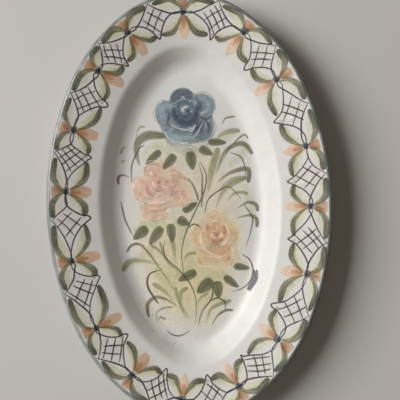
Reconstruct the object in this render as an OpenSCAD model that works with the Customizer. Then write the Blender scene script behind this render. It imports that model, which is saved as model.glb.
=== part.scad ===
// Oval hand painted ceramic plate: a clay body on a foot ring, three coats of glaze,
// and the painting as one thin film of colour for each brush and each pot of paint.
// Millimetres. +Y runs along the plate, +Z is up, and the foot ring stands on Z = 0.

/* [Outline] */
// Length of the oval from lip to lip
plate_length = 300; // [296:1:306]
// Width of the oval from lip to lip
plate_width = 200; // [196:1:204]
// Radius of the outline at the two ends
end_radius = 71; // [69:0.5:73]

/* [Section] */
// Thickness of the clay
wall = 4.5; // [4:0.1:5]
// Sloping length of the flange, from the lip to the bend into the well
flange = 32; // [30:0.5:33]
// Slope of the flange, in degrees
flange_slope = 14; // [10:1:18]
// Radius of the bend from the flange into the well
bend_radius = 9; // [7:0.5:11]
// Sloping length of the straight part of the well's side
well_side = 8; // [6:0.5:10]
// Slope of the well's side, in degrees
well_slope = 42; // [36:1:46]
// Radius of the cove between the well's side and its floor
cove_radius = 15; // [12:0.5:16]

/* [Foot ring] */
// Height of the foot ring
foot_height = 3; // [2:0.25:4]
// Width of the foot ring where it joins the clay
foot_width = 7; // [6:0.25:8]
// How far each side of the foot ring leans in towards its underside
foot_lean = 1; // [0.5:0.25:1.5]

/* [Glaze and paint] */
// Thickness of a coat of glaze
glaze = 0.35; // [0.25:0.05:0.5]
// Thickness of the painted film
film = 0.15; // [0.1:0.05:0.25]
// Width of the band of colour where it laps on to the flange
lip_band_width = 0.8; // [0.6:0.1:1.6]
// Width of the fine brush lines of the lattice
line_width = 1.2; // [0.8:0.1:1.6]

/* [Hidden] */

$fn = 96;
lip_radius = wall / 2;
// The floor runs on a little past both sides of the foot ring.
foot_gap = 0.4;
floor_z = foot_height + wall;
half_length = plate_length / 2;
half_width = plate_width / 2;

// ---- Outline: tangent arcs, one for each end, shoulder and side --------------------------

// The side hands over to the shoulder in this direction, and the shoulder to the end in the next:
// a 5-12-13 and a 3-4-5 triangle, which put every centre on a whole millimetre.
SIDE_JOIN = [12, 5] / 13;
END_JOIN = [3, 4] / 5;
// Where the arcs have to close up, along X and along Y.
spare_width = half_width - end_radius;
spare_length = half_length - end_radius;
end_steps = (5 * spare_width - spare_length) / 6;
side_steps = spare_width - 2 * end_steps;
shoulder_radius = end_radius + 5 * end_steps;
side_radius = shoulder_radius + 13 * side_steps;
END = [0, spare_length];
SHOULDER = END - 5 * end_steps * END_JOIN;
SIDE = [half_width - side_radius, 0];

// Each arc, anticlockwise from the right side: centre, radius, first and last directions.
ARCS = [
    [SIDE, side_radius, flip_y(SIDE_JOIN), SIDE_JOIN],
    [SHOULDER, shoulder_radius, SIDE_JOIN, END_JOIN],
    [END, end_radius, END_JOIN, flip_x(END_JOIN)],
    [flip_x(SHOULDER), shoulder_radius, flip_x(END_JOIN), flip_x(SIDE_JOIN)],
    [flip_x(SIDE), side_radius, flip_x(SIDE_JOIN), -SIDE_JOIN],
    [-SHOULDER, shoulder_radius, -SIDE_JOIN, -END_JOIN],
    [-END, end_radius, -END_JOIN, flip_y(END_JOIN)],
    [flip_y(SHOULDER), shoulder_radius, flip_y(END_JOIN), flip_y(SIDE_JOIN)]
];
function flip_x(p) = [-p[0], p[1]];
function flip_y(p) = [p[0], -p[1]];
function dir(a) = [cos(a), sin(a)];
function heading(v) = atan2(v[1], v[0]);
function turn_of(arc) = acos(arc[2] * arc[3]);
function arc_length(arc) = arc[1] * turn_of(arc) * PI / 180;
function sum_to(n, i = 0) = i >= n ? 0 : arc_length(ARCS[i]) + sum_to(n, i + 1);
round_trip = sum_to(len(ARCS));

// The point s round the lip from the middle of the right side, anticlockwise, and d in from it.
function rim_point(s, d) = on_arc(wrap(s + arc_length(ARCS[0]) / 2), d, 0);
function wrap(s) = s < 0 ? s + round_trip : s >= round_trip ? s - round_trip : s;
function on_arc(s, d, i) =
    i < len(ARCS) - 1 && s > arc_length(ARCS[i])
    ? on_arc(s - arc_length(ARCS[i]), d, i + 1)
    : ARCS[i][0] + (ARCS[i][1] - d) * dir(heading(ARCS[i][2]) + s / ARCS[i][1] * 180 / PI);

// ---- Section: the top of the clay, followed from the lip in to the floor ------------------

// The floor is swept a little way in from the cove, and a flat disc fills the rest.
floor_run = foot_width + 3 * foot_gap;
// Each step: a run [length, 0], or a bend [radius, turn], with a turn to the right negative.
STEPS = [
    [lip_radius, -(90 + flange_slope)],
    [flange, 0],
    [bend_radius, flange_slope - well_slope],
    [well_side, 0],
    [cove_radius, well_slope],
    [floor_run, 0]
];
// A bend is drawn in chords that turn by no more than this.
bend_step = 7;
// Where a step starts: [distance in from the lip, height, heading].
function start_of(i) = i == 0 ? [0, 0, 90] : after(start_of(i - 1), STEPS[i - 1]);
function side_of(turn) = turn < 0 ? -1 : 1;
function centre_of(from, step) = point(from) + step[0] * side_of(step[1]) * dir(from[2] + 90);
function point(v) = [v[0], v[1]];
function after(from, step) =
    step[1] == 0
    ? concat(point(from) + step[0] * dir(from[2]), [from[2]])
    : concat(turned(point(from), centre_of(from, step), step[1]), [from[2] + step[1]]);
function turned(p, c, a) =
    c + [cos(a) * (p - c)[0] - sin(a) * (p - c)[1], sin(a) * (p - c)[0] + cos(a) * (p - c)[1]];
// The lip's height, once the run down to the floor is known.
lip_z = floor_z - start_of(len(STEPS))[1];
floor_edge = start_of(5)[0];
disc_edge = floor_edge + foot_width / 2;
foot_edge = floor_edge + foot_gap;

// Points along steps first to last, at height h above the top of the clay.
function line_at(h, first, last) = [
    for (i = [first : last]) each step_points(start_of(i), STEPS[i], h),
    lifted(start_of(last + 1), h)
];
function lifted(from, h) = point(from) + h * dir(from[2] + 90);
function step_points(from, step, h) =
    step[1] == 0
    ? [lifted(from, h)]
    : fan(lifted(from, h), centre_of(from, step), step[1], ceil(abs(step[1]) / bend_step));
function fan(p, centre, turn, n) = [for (k = [0 : n - 1]) turned(p, centre, turn * k / n)];
function backwards(points) = [for (i = [len(points) - 1 : -1 : 0]) points[i]];
// A coat between two heights above the top of the clay.
module coat(first, last, low, high) {
    polygon(concat(line_at(low, first, last), backwards(line_at(high, first, last))));
}
// The underside of the lip at radius r, from its widest point to the underside of the flange.
function under_lip(r) = fan([lip_radius - r, 0], [lip_radius, 0], 90 - flange_slope, 6);

// Sweeps a section round the plate. A section's X is the distance in from the lip.
module round_the_plate() {
    overrun = 2;
    reach = 260;
    for (arc = ARCS)
        translate(arc[0])
            intersection() {
                rotate_extrude(angle = turn_of(arc) + 2 * overrun, start = heading(arc[2]) - overrun)
                    translate([arc[1], lip_z])
                        mirror([1, 0])
                            children();
                translate([0, 0, -reach / 2])
                    linear_extrude(reach)
                        polygon([[0, 0], reach * arc[2], reach * (arc[2] + arc[3]), reach * arc[3]]);
            }
}

// Fills the middle of the plate between two heights, overlapping the swept part.
module disc(edge, low, high) {
    step = 4;
    translate([0, 0, low])
        linear_extrude(high - low)
            polygon([for (s = [0 : step : round_trip - step / 2]) rim_point(s, edge)]);
}

// ---- Body and glaze -------------------------------------------------------------------------

module clay_body() {
    color("#b98d68") {
        round_the_plate()
            polygon(concat(
                line_at(0, 0, 5),
                backwards(line_at(-wall, 1, 5)),
                backwards(under_lip(lip_radius))
            ));
        disc(disc_edge, foot_height, floor_z);
    }
}

module foot_ring() {
    outer = foot_edge;
    inner = outer + foot_width;
    color("#c39a76")
        round_the_plate()
            polygon([
                [outer, foot_height - lip_z], [inner, foot_height - lip_z],
                [inner - foot_lean, -lip_z], [outer + foot_lean, -lip_z]
            ]);
}

module front_glaze() {
    color("#e6e2da") {
        round_the_plate() coat(0, 5, 0, glaze);
        disc(disc_edge, floor_z, floor_z + glaze);
    }
}

// The back coat starts at the lip's widest point and stops short of the foot ring.
module back_glaze() {
    color("#ddd8ce")
        round_the_plate()
            polygon(concat(
                under_lip(lip_radius), line_at(-wall, 1, 4),
                backwards(line_at(-wall - glaze, 1, 4)), backwards(under_lip(lip_radius + glaze))
            ));
}

module base_glaze() {
    inner = foot_edge + foot_width;
    lap = 2;
    low = foot_height - glaze;
    color("#ddd8ce") {
        round_the_plate() translate([inner, low - lip_z]) square([lap, glaze]);
        disc(inner + lap / 2, low, foot_height);
    }
}

// The band of colour wiped round the lip's edge, from its widest point on to the flange.
module lip_band() {
    turn = 90 + flange_slope;
    centre = [lip_radius, 0];
    inner = fan([-glaze, 0], centre, -turn, 8);
    outer = fan([-glaze - film, 0], centre, -turn, 8);
    flange_start = start_of(1);
    run = lip_band_width * dir(flange_start[2]);
    color("#6f7d78")
        round_the_plate()
            polygon(concat(
                inner, [lifted(flange_start, glaze), lifted(flange_start, glaze) + run],
                [lifted(flange_start, glaze + film) + run, lifted(flange_start, glaze + film)],
                backwards(outer)
            ));
}

// ---- Brush strokes --------------------------------------------------------------------------

// The point at t, from 0 to 1, on the smooth line through a list of points.
function through(p, t) =
    let (n = len(p) - 1, i = min(floor(t * n), n - 1), u = t * n - i,
        a = p[max(i - 1, 0)], b = p[i], c = p[i + 1], d = p[min(i + 2, n)])
    (2 * b + (c - a) * u + (2 * a - 5 * b + 4 * c - d) * u * u
        + (3 * b - 3 * c + d - a) * u * u * u) / 2;
// A brush's half width at t: it opens from a pointed start, is full at the peak, and closes.
function opening(t, peak) =
    t < peak ? 0.12 + 0.88 * sin(90 * t / peak) : sqrt(max(0.01, 1 - pow((t - peak) / (1 - peak), 2)));
// Where along a stroke the brush is pressed hardest, and the steps that its outline is drawn in.
even_press = 0.5;
late_press = 0.72;
leaf_press = 0.62;
bud_press = 0.45;
stroke_steps = 10;
grass_steps = 12;
hatch_steps = 3;
stem_steps_per_point = 4;
// The outline of a stroke along points p, with n steps, width w and its fullest place.
function stroke(p, w, peak, n = stroke_steps) =
    let (edge = [for (k = [0 : n]) let (
            t = k / n,
            ahead = through(p, min(t + 0.02, 1)) - through(p, max(t - 0.02, 0)),
            across = [-ahead[1], ahead[0]] / norm(ahead) * w / 2 * opening(t, peak)
        ) [through(p, t) - across, through(p, t) + across]])
    concat([for (e = edge) e[0]], backwards([for (e = edge) e[1]]));

// ---- The painted rim ------------------------------------------------------------------------

// Where each knot was painted, in millimetres round the lip from the middle of the right side.
KNOTS = [41, 97, 143, 198, 249, 287, 337, 383, 435, 489, 536, 583, 634, 684, 739, 790];
// Where each lattice's two points reach, round the lip: on the lip's side, on the well's side.
LIP_TIPS = [71, 118, 171, 224, 271, 312, 356, 404, 457, 509, 561, 608, 660, 710, 764, 20];
WELL_TIPS = [67, 121, 166, 227, 269, 310, 355, 404, 453, 508, 559, 609, 653, 708, 764, 17];
// How deep each knot lies, from the lip's edge towards the well.
KNOT_DEPTHS = [13, 16, 12, 13, 12, 13, 12, 13, 13, 13, 13, 13, 13, 15, 13, 15];
// The half motif below is drawn round a knot of this depth, then pulled to its own knot.
knot_depth = 14;
lip_tip = 4.4;
well_tip = 28;
// Brush strokes that set out from a knot: [along the lip as a share of the pitch, depth].
LIP_SIDE = [[0, knot_depth], [0.09, 14.7], [0.18, knot_depth], [0.28, 11.4], [0.39, 7.6]];
WELL_SIDE = [[0, knot_depth], [0.09, 13.3], [0.18, knot_depth], [0.28, 17.6], [0.39, 22.4]];
LIP_LOOP = [[0.02, 12.4], [0.09, 7.6], [0.22, 4.6], [0.40, 5.6]];
WELL_LOOP = [[0.02, 16], [0.10, 21.8], [0.24, 26.4], [0.41, 25.2]];
WELL_BUD = [[0, 17.8], [0.01, 24], [0.02, 30.4]];
LIP_BUD = [[0, 10.8], [0, 7.8], [0, 4.2]];
// The middle of the pale wash between each loop and the lattice.
WELL_WASH = [[0.06, 16.6], [0.14, 19.2], [0.26, 22], [0.36, 22.8]];
LIP_WASH = [[0.06, 11.6], [0.12, 10.2], [0.2, 8.8], [0.29, 7.6]];
// Full widths of these strokes, and the size of the dab on each knot.
well_loop_width = 3.2;
lip_loop_width = 2.6;
well_bud_width = 5.6;
lip_bud_width = 3.6;
well_wash_width = 5;
lip_wash_width = 4.2;
knot_radius = 2.7;
knot_unevenness = 0.5;
// How far an unsteady hand strays, for motif k and its stroke n, from -1 to 1.
function stray(k, n) = sin(137 * k + 71 * n);
function pitch(k) = (k < len(KNOTS) - 1 ? KNOTS[k + 1] : KNOTS[0] + round_trip) - KNOTS[k];
// Strokes of motif k from its first knot (end 0) or from its last (end 1), on the plate.
function placed(k, points, end = 0) =
    [for (p = points) let (share = end == 0 ? p[0] : 1 - p[0])
        rim_point(KNOTS[k] + pitch(k) * share, p[1] + pull(k, share) * min(1, p[1] / knot_depth))];
// How far a point at a share of the pitch follows the nearer knot of motif k into the flange.
function pull(k, share) =
    let (next = (k + 1) % len(KNOTS))
    (KNOT_DEPTHS[k] - knot_depth) * max(0, 1 - 2 * share)
        + (KNOT_DEPTHS[next] - knot_depth) * max(0, 2 * share - 1);
function tip_share(k, tip) = ((tip > KNOTS[k] ? tip : tip + round_trip) - KNOTS[k]) / pitch(k);
function lip_vertex(k) = [tip_share(k, LIP_TIPS[k]), lip_tip];
function well_vertex(k) = [tip_share(k, WELL_TIPS[k]), well_tip + stray(k, 3) / 2];
// Half a motif's points, stretched along the lip so that its tip falls on the lattice's.
function stretched(points, share, end) =
    [for (p = points) [p[0] * (1 + ((end == 0 ? share : 1 - share) * 2 - 1) * p[0] * 2), p[1]]];
function half(k, points, vertex, end) = placed(k, stretched(points, vertex[0], end), end);
function lip_line(k, end) =
    concat(half(k, LIP_SIDE, lip_vertex(k), end), placed(k, [lip_vertex(k)]));
function well_line(k, end) =
    concat(half(k, WELL_SIDE, well_vertex(k), end), placed(k, [well_vertex(k)]));
// A hatching line across the lattice, from one side to the opposite one.
function hatch(k, a, b) = placed(k, [a + (b - a) * 0.1, a + (b - a) * 0.9]);
function mix(a, b, f) = a + (b - a) * f;
MOTIFS = [0 : len(KNOTS) - 1];

// The film of paint on the flange, cut to the shape of its children.
module on_flange() {
    first = lifted(start_of(1), glaze) + lip_band_width * dir(start_of(1)[2]);
    last = lifted(start_of(2), glaze);
    up = film * dir(start_of(1)[2] + 90);
    intersection() {
        round_the_plate() polygon([first, last, last + up, first + up]);
        linear_extrude(lip_z + 10) children();
    }
}

module loop_strokes() {
    for (k = MOTIFS, end = [0, 1]) {
        polygon(stroke(half(k, WELL_LOOP, well_vertex(k), end), well_loop_width, late_press));
        polygon(stroke(half(k, LIP_LOOP, lip_vertex(k), end), lip_loop_width, late_press));
    }
}

module lattice_strokes() {
    near = [0.2, knot_depth];
    far = [0.8, knot_depth];
    for (k = MOTIFS) {
        for (end = [0, 1]) {
            polygon(stroke(lip_line(k, end), line_width, even_press));
            polygon(stroke(well_line(k, end), line_width, even_press));
        }
        for (f = [0.36, 0.68]) {
            polygon(stroke(hatch(k, mix(near, lip_vertex(k), f), mix(well_vertex(k), far, f)),
                line_width, even_press, hatch_steps));
            polygon(stroke(hatch(k, mix(near, well_vertex(k), f), mix(lip_vertex(k), far, f)),
                line_width, even_press, hatch_steps));
        }
    }
}

module knot_dabs() {
    for (k = MOTIFS)
        polygon([for (a = [0 : 36 : 324])
            rim_point(KNOTS[k], KNOT_DEPTHS[k])
                + (knot_radius + knot_unevenness * stray(k, a / 36)) * dir(a)]);
}

module bud_strokes() {
    for (k = MOTIFS) {
        polygon(stroke(placed(k, WELL_BUD), well_bud_width, bud_press));
        polygon(stroke(placed(k, LIP_BUD), lip_bud_width, late_press));
    }
}

module wash_strokes() {
    for (k = MOTIFS, end = [0, 1]) {
        polygon(stroke(half(k, WELL_WASH, well_vertex(k), end), well_wash_width, even_press));
        polygon(stroke(half(k, LIP_WASH, lip_vertex(k), end), lip_wash_width, even_press));
    }
}

module rim_washes() {
    color("#c6c7a4") on_flange() wash_strokes();
}

module rim_loops() {
    color("#5f6040") on_flange() difference() {
        loop_strokes();
        union() { lattice_strokes(); knot_dabs(); }
    }
}

module rim_buds() {
    color("#d59a6e") on_flange() bud_strokes();
}

module rim_lattice() {
    color("#2f2b29") on_flange() difference() { lattice_strokes(); knot_dabs(); }
}

module rim_knots() {
    color("#36404f") on_flange() knot_dabs();
}

// ---- The painted bouquet --------------------------------------------------------------------

// Leaves: stem end, round end, width.
LEAVES = [
    [[-30, 30], [-19, 39], 5.5], [[-18, 26], [-9, 36], 6.5], [[3, 25], [1, 38], 7.5],
    [[27, 43], [14, 44], 5], [[17, 35], [8, 40], 6], [[5, 2], [-5, -4], 5.5],
    [[-1, -13], [-9, -9], 6.5], [[-40, -22], [-30, -14], 7.5], [[-29, -26], [-20, -14], 7],
    [[-13, -25], [-14, -12], 6.5], [[-10, -52], [3, -46], 6.5], [[3, -61], [14, -52], 8.5],
    [[18, -65], [17, -53], 7.5], [[32, -58], [22, -50], 5.5], [[40, -45], [29, -43], 5]
];
// Soft strokes of grass: fullest width, then the points that the brush went through.
GRASS = [
    [6, [[-34, 29], [-36, 38], [-34, 46], [-27, 51], [-17, 50]]],
    [6, [[13, 9], [18, 27], [21, 42], [37, 52]]],
    [1.6, [[24, 55], [27, 60], [34, 61]]],
    [1.6, [[18, 21], [30, 40], [39, 48], [42, 45]]],
    [4.5, [[19, 22], [26, 37], [38, 42], [45, 34]]],
    [4.5, [[20, 16], [29, 22], [41, 24], [41, 14]]],
    [4.5, [[18, -2], [25, 11], [39, 18]]],
    [3, [[26, 2], [32, 8], [41, 7]]],
    [3.5, [[33, -3], [40, 1], [46, -1], [47, -6]]],
    [3.5, [[32, -10], [41, -8], [46, -11], [46, -17]]],
    [2, [[-6, 20], [1, 17], [5, 8], [6, 3]]],
    [1.6, [[6, 32], [9, 22], [9, 13], [8, -2]]],
    [3, [[-12, -60], [-23, -42], [-34, -27], [-41, -26], [-45, -31]]],
    [5, [[-24, -40], [-35, -37], [-44, -38], [-48, -44]]],
    [4, [[-14, -65], [-21, -58], [-28, -53]]],
    [3.5, [[-11, -70], [-18, -65], [-26, -63], [-32, -68], [-31, -77]]],
    [3.5, [[-5, -79], [-9, -69], [-8, -60], [-3, -57]]],
    [4, [[-12, -39], [-12, -29], [-14, -22]]],
    [3.5, [[-16, -41], [-22, -31], [-29, -26]]],
    [3, [[-5, -39], [-3, -34], [4, -33]]],
    [4, [[8, -83], [12, -73], [19, -69], [27, -67]]],
    [2.5, [[12, -85], [16, -78], [22, -74], [28, -74]]],
    [2.5, [[2, -69], [6, -64], [11, -61]]],
    [2, [[-42, 42], [-45, 42], [-47, 37]]],
    [2, [[-43, 33], [-45, 33], [-46, 31]]],
    [3, [[-41, 21], [-46, 23], [-49, 21], [-49, 16]]],
    [2, [[-25, -79], [-23, -77], [-19, -79]]]
];
// Fine dark stems, by the points that the liner brush went through.
STEMS = [
    [[8, 31], [12, 21], [10, 9], [0, -11], [-5, -23], [-7, -35], [-5, -54]],
    [[-18, -23], [-19, -34], [-8, -46], [-1, -56], [2, -68], [1, -84]],
    [[-22, -44], [-30, -47], [-31, -56], [-24, -68]],
    [[-30, 43], [-34, 41], [-39, 31], [-40, 24], [-40, 17]],
    [[-48, 5], [-45, -9], [-40, -20]],
    [[29, 36], [36, 33], [39, 26], [39, 16]],
    [[10, -6], [13, 4], [21, 10], [28, 12], [36, 3]],
    [[37, 0], [43, -9], [42, -18], [38, -30]],
    [[35, -35], [41, -40], [42, -50], [36, -58], [27, -61]],
    [[14, -56], [13, -65], [6, -74], [3, -84]],
    [[12, -67], [17, -65], [22, -68], [22, -74]],
    [[-19, -86], [-11, -91], [-3, -86]],
    [[-3, -16], [3, -13], [8, -17]]
];
// Rose petals: centre and radius, the heart of the flower first.
BLUE_PETALS = [
    [[0, 63], 12], [[-3, 75], 8], [[-15, 65], 8], [[12, 69], 8.5], [[10, 54], 9.5], [[-8, 51], 9]
];
PINK_PETALS = [
    [[-20, 13], 12], [[-26, 26], 7.5], [[-8, 21], 7.5], [[-33, 11], 9], [[-25, -3], 9.5],
    [[-7, 6], 9.5]
];
PEACH_PETALS = [
    [[18, -21], 11.5], [[16, -9], 8], [[28, -20], 7.5], [[6, -22], 7.5], [[9, -37], 8],
    [[23, -36], 9]
];
SMUDGE = [[44, -47], [43, -54], [37, -60]];
smudge_width = 3.6;
stem_width = 1;

// The film of paint on the well's floor, cut to the shape of its children.
module on_floor() {
    translate([0, 0, floor_z + glaze]) linear_extrude(film) children();
}

module petals(rose) {
    for (petal = rose) translate(petal[0]) circle(r = petal[1]);
}
module rose_shapes() {
    petals(BLUE_PETALS);
    petals(PINK_PETALS);
    petals(PEACH_PETALS);
}
module leaf_strokes() {
    for (leaf = LEAVES) polygon(stroke([leaf[0], leaf[1]], leaf[2], leaf_press));
}
module grass_shapes() {
    for (blade = GRASS) polygon(stroke(blade[1], blade[0], late_press, grass_steps));
}
module stem_lines() {
    for (stem = STEMS) polygon(stroke(stem, stem_width, even_press, stem_steps_per_point * len(stem)));
}
module smudge_dab() {
    polygon(stroke(SMUDGE, smudge_width, even_press));
}
// The ground that the bouquet was washed on to: an uneven oval.
ground_centre = [-1, -12];
ground_half_size = [43, 80];
module ground_shape() {
    polygon([for (a = [0 : 10 : 350]) let (half_size = ground_half_size + [2 * sin(5 * a), 3 * sin(4 * a)])
        ground_centre + [half_size[0] * cos(a), half_size[1] * sin(a)]]);
}

module bouquet_ground() {
    color("#dcdac0") on_floor() difference() {
        ground_shape();
        union() { rose_shapes(); leaf_strokes(); grass_shapes(); stem_lines(); smudge_dab(); }
    }
}

module blue_rose() {
    color("#7f8f98") on_floor() difference() {
        petals(BLUE_PETALS);
        union() { leaf_strokes(); stem_lines(); }
    }
}

module pink_rose() {
    color("#dcb7a0") on_floor() difference() {
        petals(PINK_PETALS);
        union() { leaf_strokes(); stem_lines(); }
    }
}

module peach_rose() {
    color("#dfb488") on_floor() difference() {
        petals(PEACH_PETALS);
        union() { leaf_strokes(); stem_lines(); }
    }
}

module leaves() {
    color("#6d7052") on_floor() difference() { leaf_strokes(); stem_lines(); }
}

module grass_strokes() {
    color("#a3a37f") on_floor() difference() {
        grass_shapes();
        union() { rose_shapes(); leaf_strokes(); stem_lines(); smudge_dab(); }
    }
}

module liner_stems() {
    color("#4a4b44") on_floor() stem_lines();
}

module blue_smudge() {
    color("#6f7886") on_floor() difference() { smudge_dab(); stem_lines(); }
}

clay_body();
foot_ring();
front_glaze();
back_glaze();
base_glaze();
lip_band();
rim_washes();
rim_loops();
rim_buds();
rim_lattice();
rim_knots();
bouquet_ground();
blue_rose();
pink_rose();
peach_rose();
leaves();
grass_strokes();
liner_stems();
blue_smudge();
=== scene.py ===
"""Hand painted oval plate: glazed earthenware with a latticed rim and a bouquet of three roses.

Shapes are worked out in millimetres in the plate's own frame and scaled to metres at the end.
Bodies and coats are swept round the plate's outline. The painting is made of single brush
strokes, each a thin film that lies on the glaze and carries its ink, its flow and its hairs.
"""
import math

import bmesh
import bpy
import numpy as np
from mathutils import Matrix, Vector


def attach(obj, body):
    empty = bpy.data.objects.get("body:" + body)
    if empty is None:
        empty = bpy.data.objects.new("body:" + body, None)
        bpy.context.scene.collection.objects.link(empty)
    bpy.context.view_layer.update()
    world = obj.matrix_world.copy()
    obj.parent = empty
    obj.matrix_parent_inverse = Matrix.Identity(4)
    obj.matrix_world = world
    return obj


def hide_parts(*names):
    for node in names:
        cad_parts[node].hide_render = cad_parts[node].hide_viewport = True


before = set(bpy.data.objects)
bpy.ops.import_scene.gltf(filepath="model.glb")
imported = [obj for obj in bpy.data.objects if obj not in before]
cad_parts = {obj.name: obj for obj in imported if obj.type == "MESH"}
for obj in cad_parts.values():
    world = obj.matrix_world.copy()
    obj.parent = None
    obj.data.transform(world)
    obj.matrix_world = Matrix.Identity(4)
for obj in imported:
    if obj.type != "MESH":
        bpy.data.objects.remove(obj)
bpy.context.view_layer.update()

MM = 0.001

# ---- Driving dimensions, in millimetres ----------------------------------------------------

PLATE_LENGTH = 300.0
PLATE_WIDTH = 200.0
END_RADIUS = 71.0
WALL = 4.5
FLANGE = 32.0
FLANGE_SLOPE = 14.0
BEND_RADIUS = 9.0
WELL_SIDE = 8.0
WELL_SLOPE = 42.0
COVE_RADIUS = 15.0
FOOT_HEIGHT = 3.0
FOOT_WIDTH = 7.0
FOOT_LEAN = 1.0
FOOT_GAP = 0.4
GLAZE = 0.35
# How far the hidden side of each coat of glaze lies from the surface of the clay.
APART = 0.02
FLOOR_RUN = FOOT_WIDTH + 1.2
LIP_RADIUS = WALL / 2
FLOOR_Z = FOOT_HEIGHT + WALL


# ---- Outline: eight tangent arcs -------------------------------------------------------------

def outline_arcs():
    """The arcs anticlockwise from the right side: centre, radius, first direction and turn."""
    # The arcs meet where the outline faces along (12, 5) / 13 and along (3, 4) / 5.
    low, high, half = math.atan2(5, 12), math.atan2(4, 3), math.pi / 2
    spare_width = PLATE_WIDTH / 2 - END_RADIUS
    spare_length = PLATE_LENGTH / 2 - END_RADIUS
    end_steps = (5 * spare_width - spare_length) / 6
    side_steps = spare_width - 2 * end_steps
    shoulder_radius = END_RADIUS + 5 * end_steps
    side_radius = shoulder_radius + 13 * side_steps
    end = np.array([0, spare_length])
    shoulder = end - end_steps * np.array([3, 4])
    side = np.array([PLATE_WIDTH / 2 - side_radius, 0])
    upper = [
        (side, side_radius, -low, 2 * low),
        (shoulder, shoulder_radius, low, high - low),
        (end, END_RADIUS, high, 2 * (half - high)),
        (shoulder * (-1, 1), shoulder_radius, 2 * half - high, high - low),
    ]
    return upper + [(-centre, radius, first + math.pi, turn) for centre, radius, first, turn in upper]


ARCS = outline_arcs()
ARC_LENGTHS = [radius * turn for _, radius, _, turn in ARCS]
ROUND_TRIP = sum(ARC_LENGTHS)


def rim_point(s, d):
    """Points s round the lip from the middle of the right side, and d in from the lip."""
    s, d = np.broadcast_arrays(np.asarray(s, float), np.asarray(d, float))
    s = np.mod(s + ARC_LENGTHS[0] / 2, ROUND_TRIP)
    out = np.zeros(s.shape + (2,))
    start = 0.0
    for (centre, radius, first, _), length in zip(ARCS, ARC_LENGTHS):
        here = (s >= start) & (s <= start + length)
        angle = first + (s - start) / radius
        arm = np.stack([np.cos(angle), np.sin(angle)], -1)
        out = np.where(here[..., None], centre + (radius - d)[..., None] * arm, out)
        start += length
    return out


def depth_of(xy):
    """How far in from the lip each point lies, by the arc that it faces."""
    x, y = np.abs(xy[..., 0]), np.abs(xy[..., 1])
    (side, side_radius, _, side_turn), (shoulder, shoulder_radius, first, turn), (end, *_) = ARCS[:3]
    by_side = side_radius - np.hypot(x - side[0], y - side[1])
    by_shoulder = shoulder_radius - np.hypot(x - shoulder[0], y - shoulder[1])
    by_end = END_RADIUS - np.hypot(x - end[0], y - end[1])
    on_side = np.arctan2(y, x - side[0]) < side_turn / 2
    on_shoulder = np.arctan2(y - shoulder[1], x - shoulder[0]) < first + turn
    return np.where(on_side, by_side, np.where(on_shoulder, by_shoulder, by_end))


# ---- Section: the top of the clay, followed from the lip in to the floor ---------------------

# Each step is a run (length, 0) or a bend (radius, turn), where a turn to the right is negative.
STEPS = (
    (LIP_RADIUS, -(90 + FLANGE_SLOPE)),
    (FLANGE, 0),
    (BEND_RADIUS, FLANGE_SLOPE - WELL_SLOPE),
    (WELL_SIDE, 0),
    (COVE_RADIUS, WELL_SLOPE),
    (FLOOR_RUN, 0),
)


def follow(spacing):
    """Points along the section with their headings, and the row where each step starts."""
    place, heading = np.array([0.0, 0.0]), 90.0
    rows, starts = [], []
    for size, turn in STEPS:
        starts.append(len(rows))
        length = size if turn == 0 else size * math.radians(abs(turn))
        count = max(2, math.ceil(length / spacing))
        for i in range(count):
            rows.append(step_point(place, heading, size, turn, i / count))
        place, heading = step_point(place, heading, size, turn, 1.0)
    rows.append((place, heading))
    points = np.array([p for p, _ in rows])
    headings = np.radians([h for _, h in rows])
    return points, headings, starts + [len(rows) - 1]


def step_point(place, heading, size, turn, share):
    """The place and heading a share of the way along one run or bend."""
    along = math.radians(heading)
    ahead = np.array([math.cos(along), math.sin(along)])
    if turn == 0:
        return place + size * share * ahead, heading
    left = np.array([-ahead[1], ahead[0]]) * math.copysign(1, turn)
    swung = math.radians(turn * share)
    spoke = -left * size
    cos, sin = math.cos(swung), math.sin(swung)
    moved = np.array([cos * spoke[0] - sin * spoke[1], sin * spoke[0] + cos * spoke[1]])
    return place + left * size + moved, heading + turn * share


SECTION, HEADINGS, STARTS = follow(0.5)
NORMALS = np.stack([-np.sin(HEADINGS), np.cos(HEADINGS)], -1)
LIP_Z = FLOOR_Z - SECTION[-1, 1]
SECTION[:, 1] += LIP_Z
FLOOR_EDGE = SECTION[STARTS[5], 0]


def section_line(height, first=0, last=6):
    """The section from step first to the end of step last - 1, height above the clay."""
    span = slice(STARTS[first], STARTS[last] + 1)
    return SECTION[span] + height * NORMALS[span]


def under_lip(radius, count=12):
    """The underside of the lip, from its widest point to the underside of the flange."""
    turn = np.radians(np.linspace(0, 90 - FLANGE_SLOPE, count, endpoint=False))
    return np.stack([LIP_RADIUS - radius * np.cos(turn), LIP_Z - radius * np.sin(turn)], -1)


TOP_LINE = section_line(GLAZE)


def top_of_glaze(xy):
    """The height of the glaze under each point of the plate, in millimetres."""
    return np.interp(depth_of(xy), TOP_LINE[:, 0], TOP_LINE[:, 1])


# ---- From millimetres to the frame -----------------------------------------------------------

def settle(points):
    """Gives every shape the same slight unevenness of a hand pressed plate, then scales it."""
    x, y, z = points[:, 0], points[:, 1], points[:, 2]
    rise = np.clip(z / FLOOR_Z, 0, 1)
    heave = 0.30 * np.sin(x / 38 + 0.8) * np.cos(y / 52 + 0.4) + 0.14 * np.sin(x / 19 + y / 27)
    bulge = 0.0022 * np.sin(2 * np.arctan2(y, x * 1.5) + 0.7) + 0.0015 * np.sin(y / 33 + 1.1)
    out = np.stack([x * (1 + bulge * rise), y * (1 + 0.4 * bulge * rise), z + heave * rise], -1)
    return out * MM


# ---- Materials -------------------------------------------------------------------------------

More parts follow.
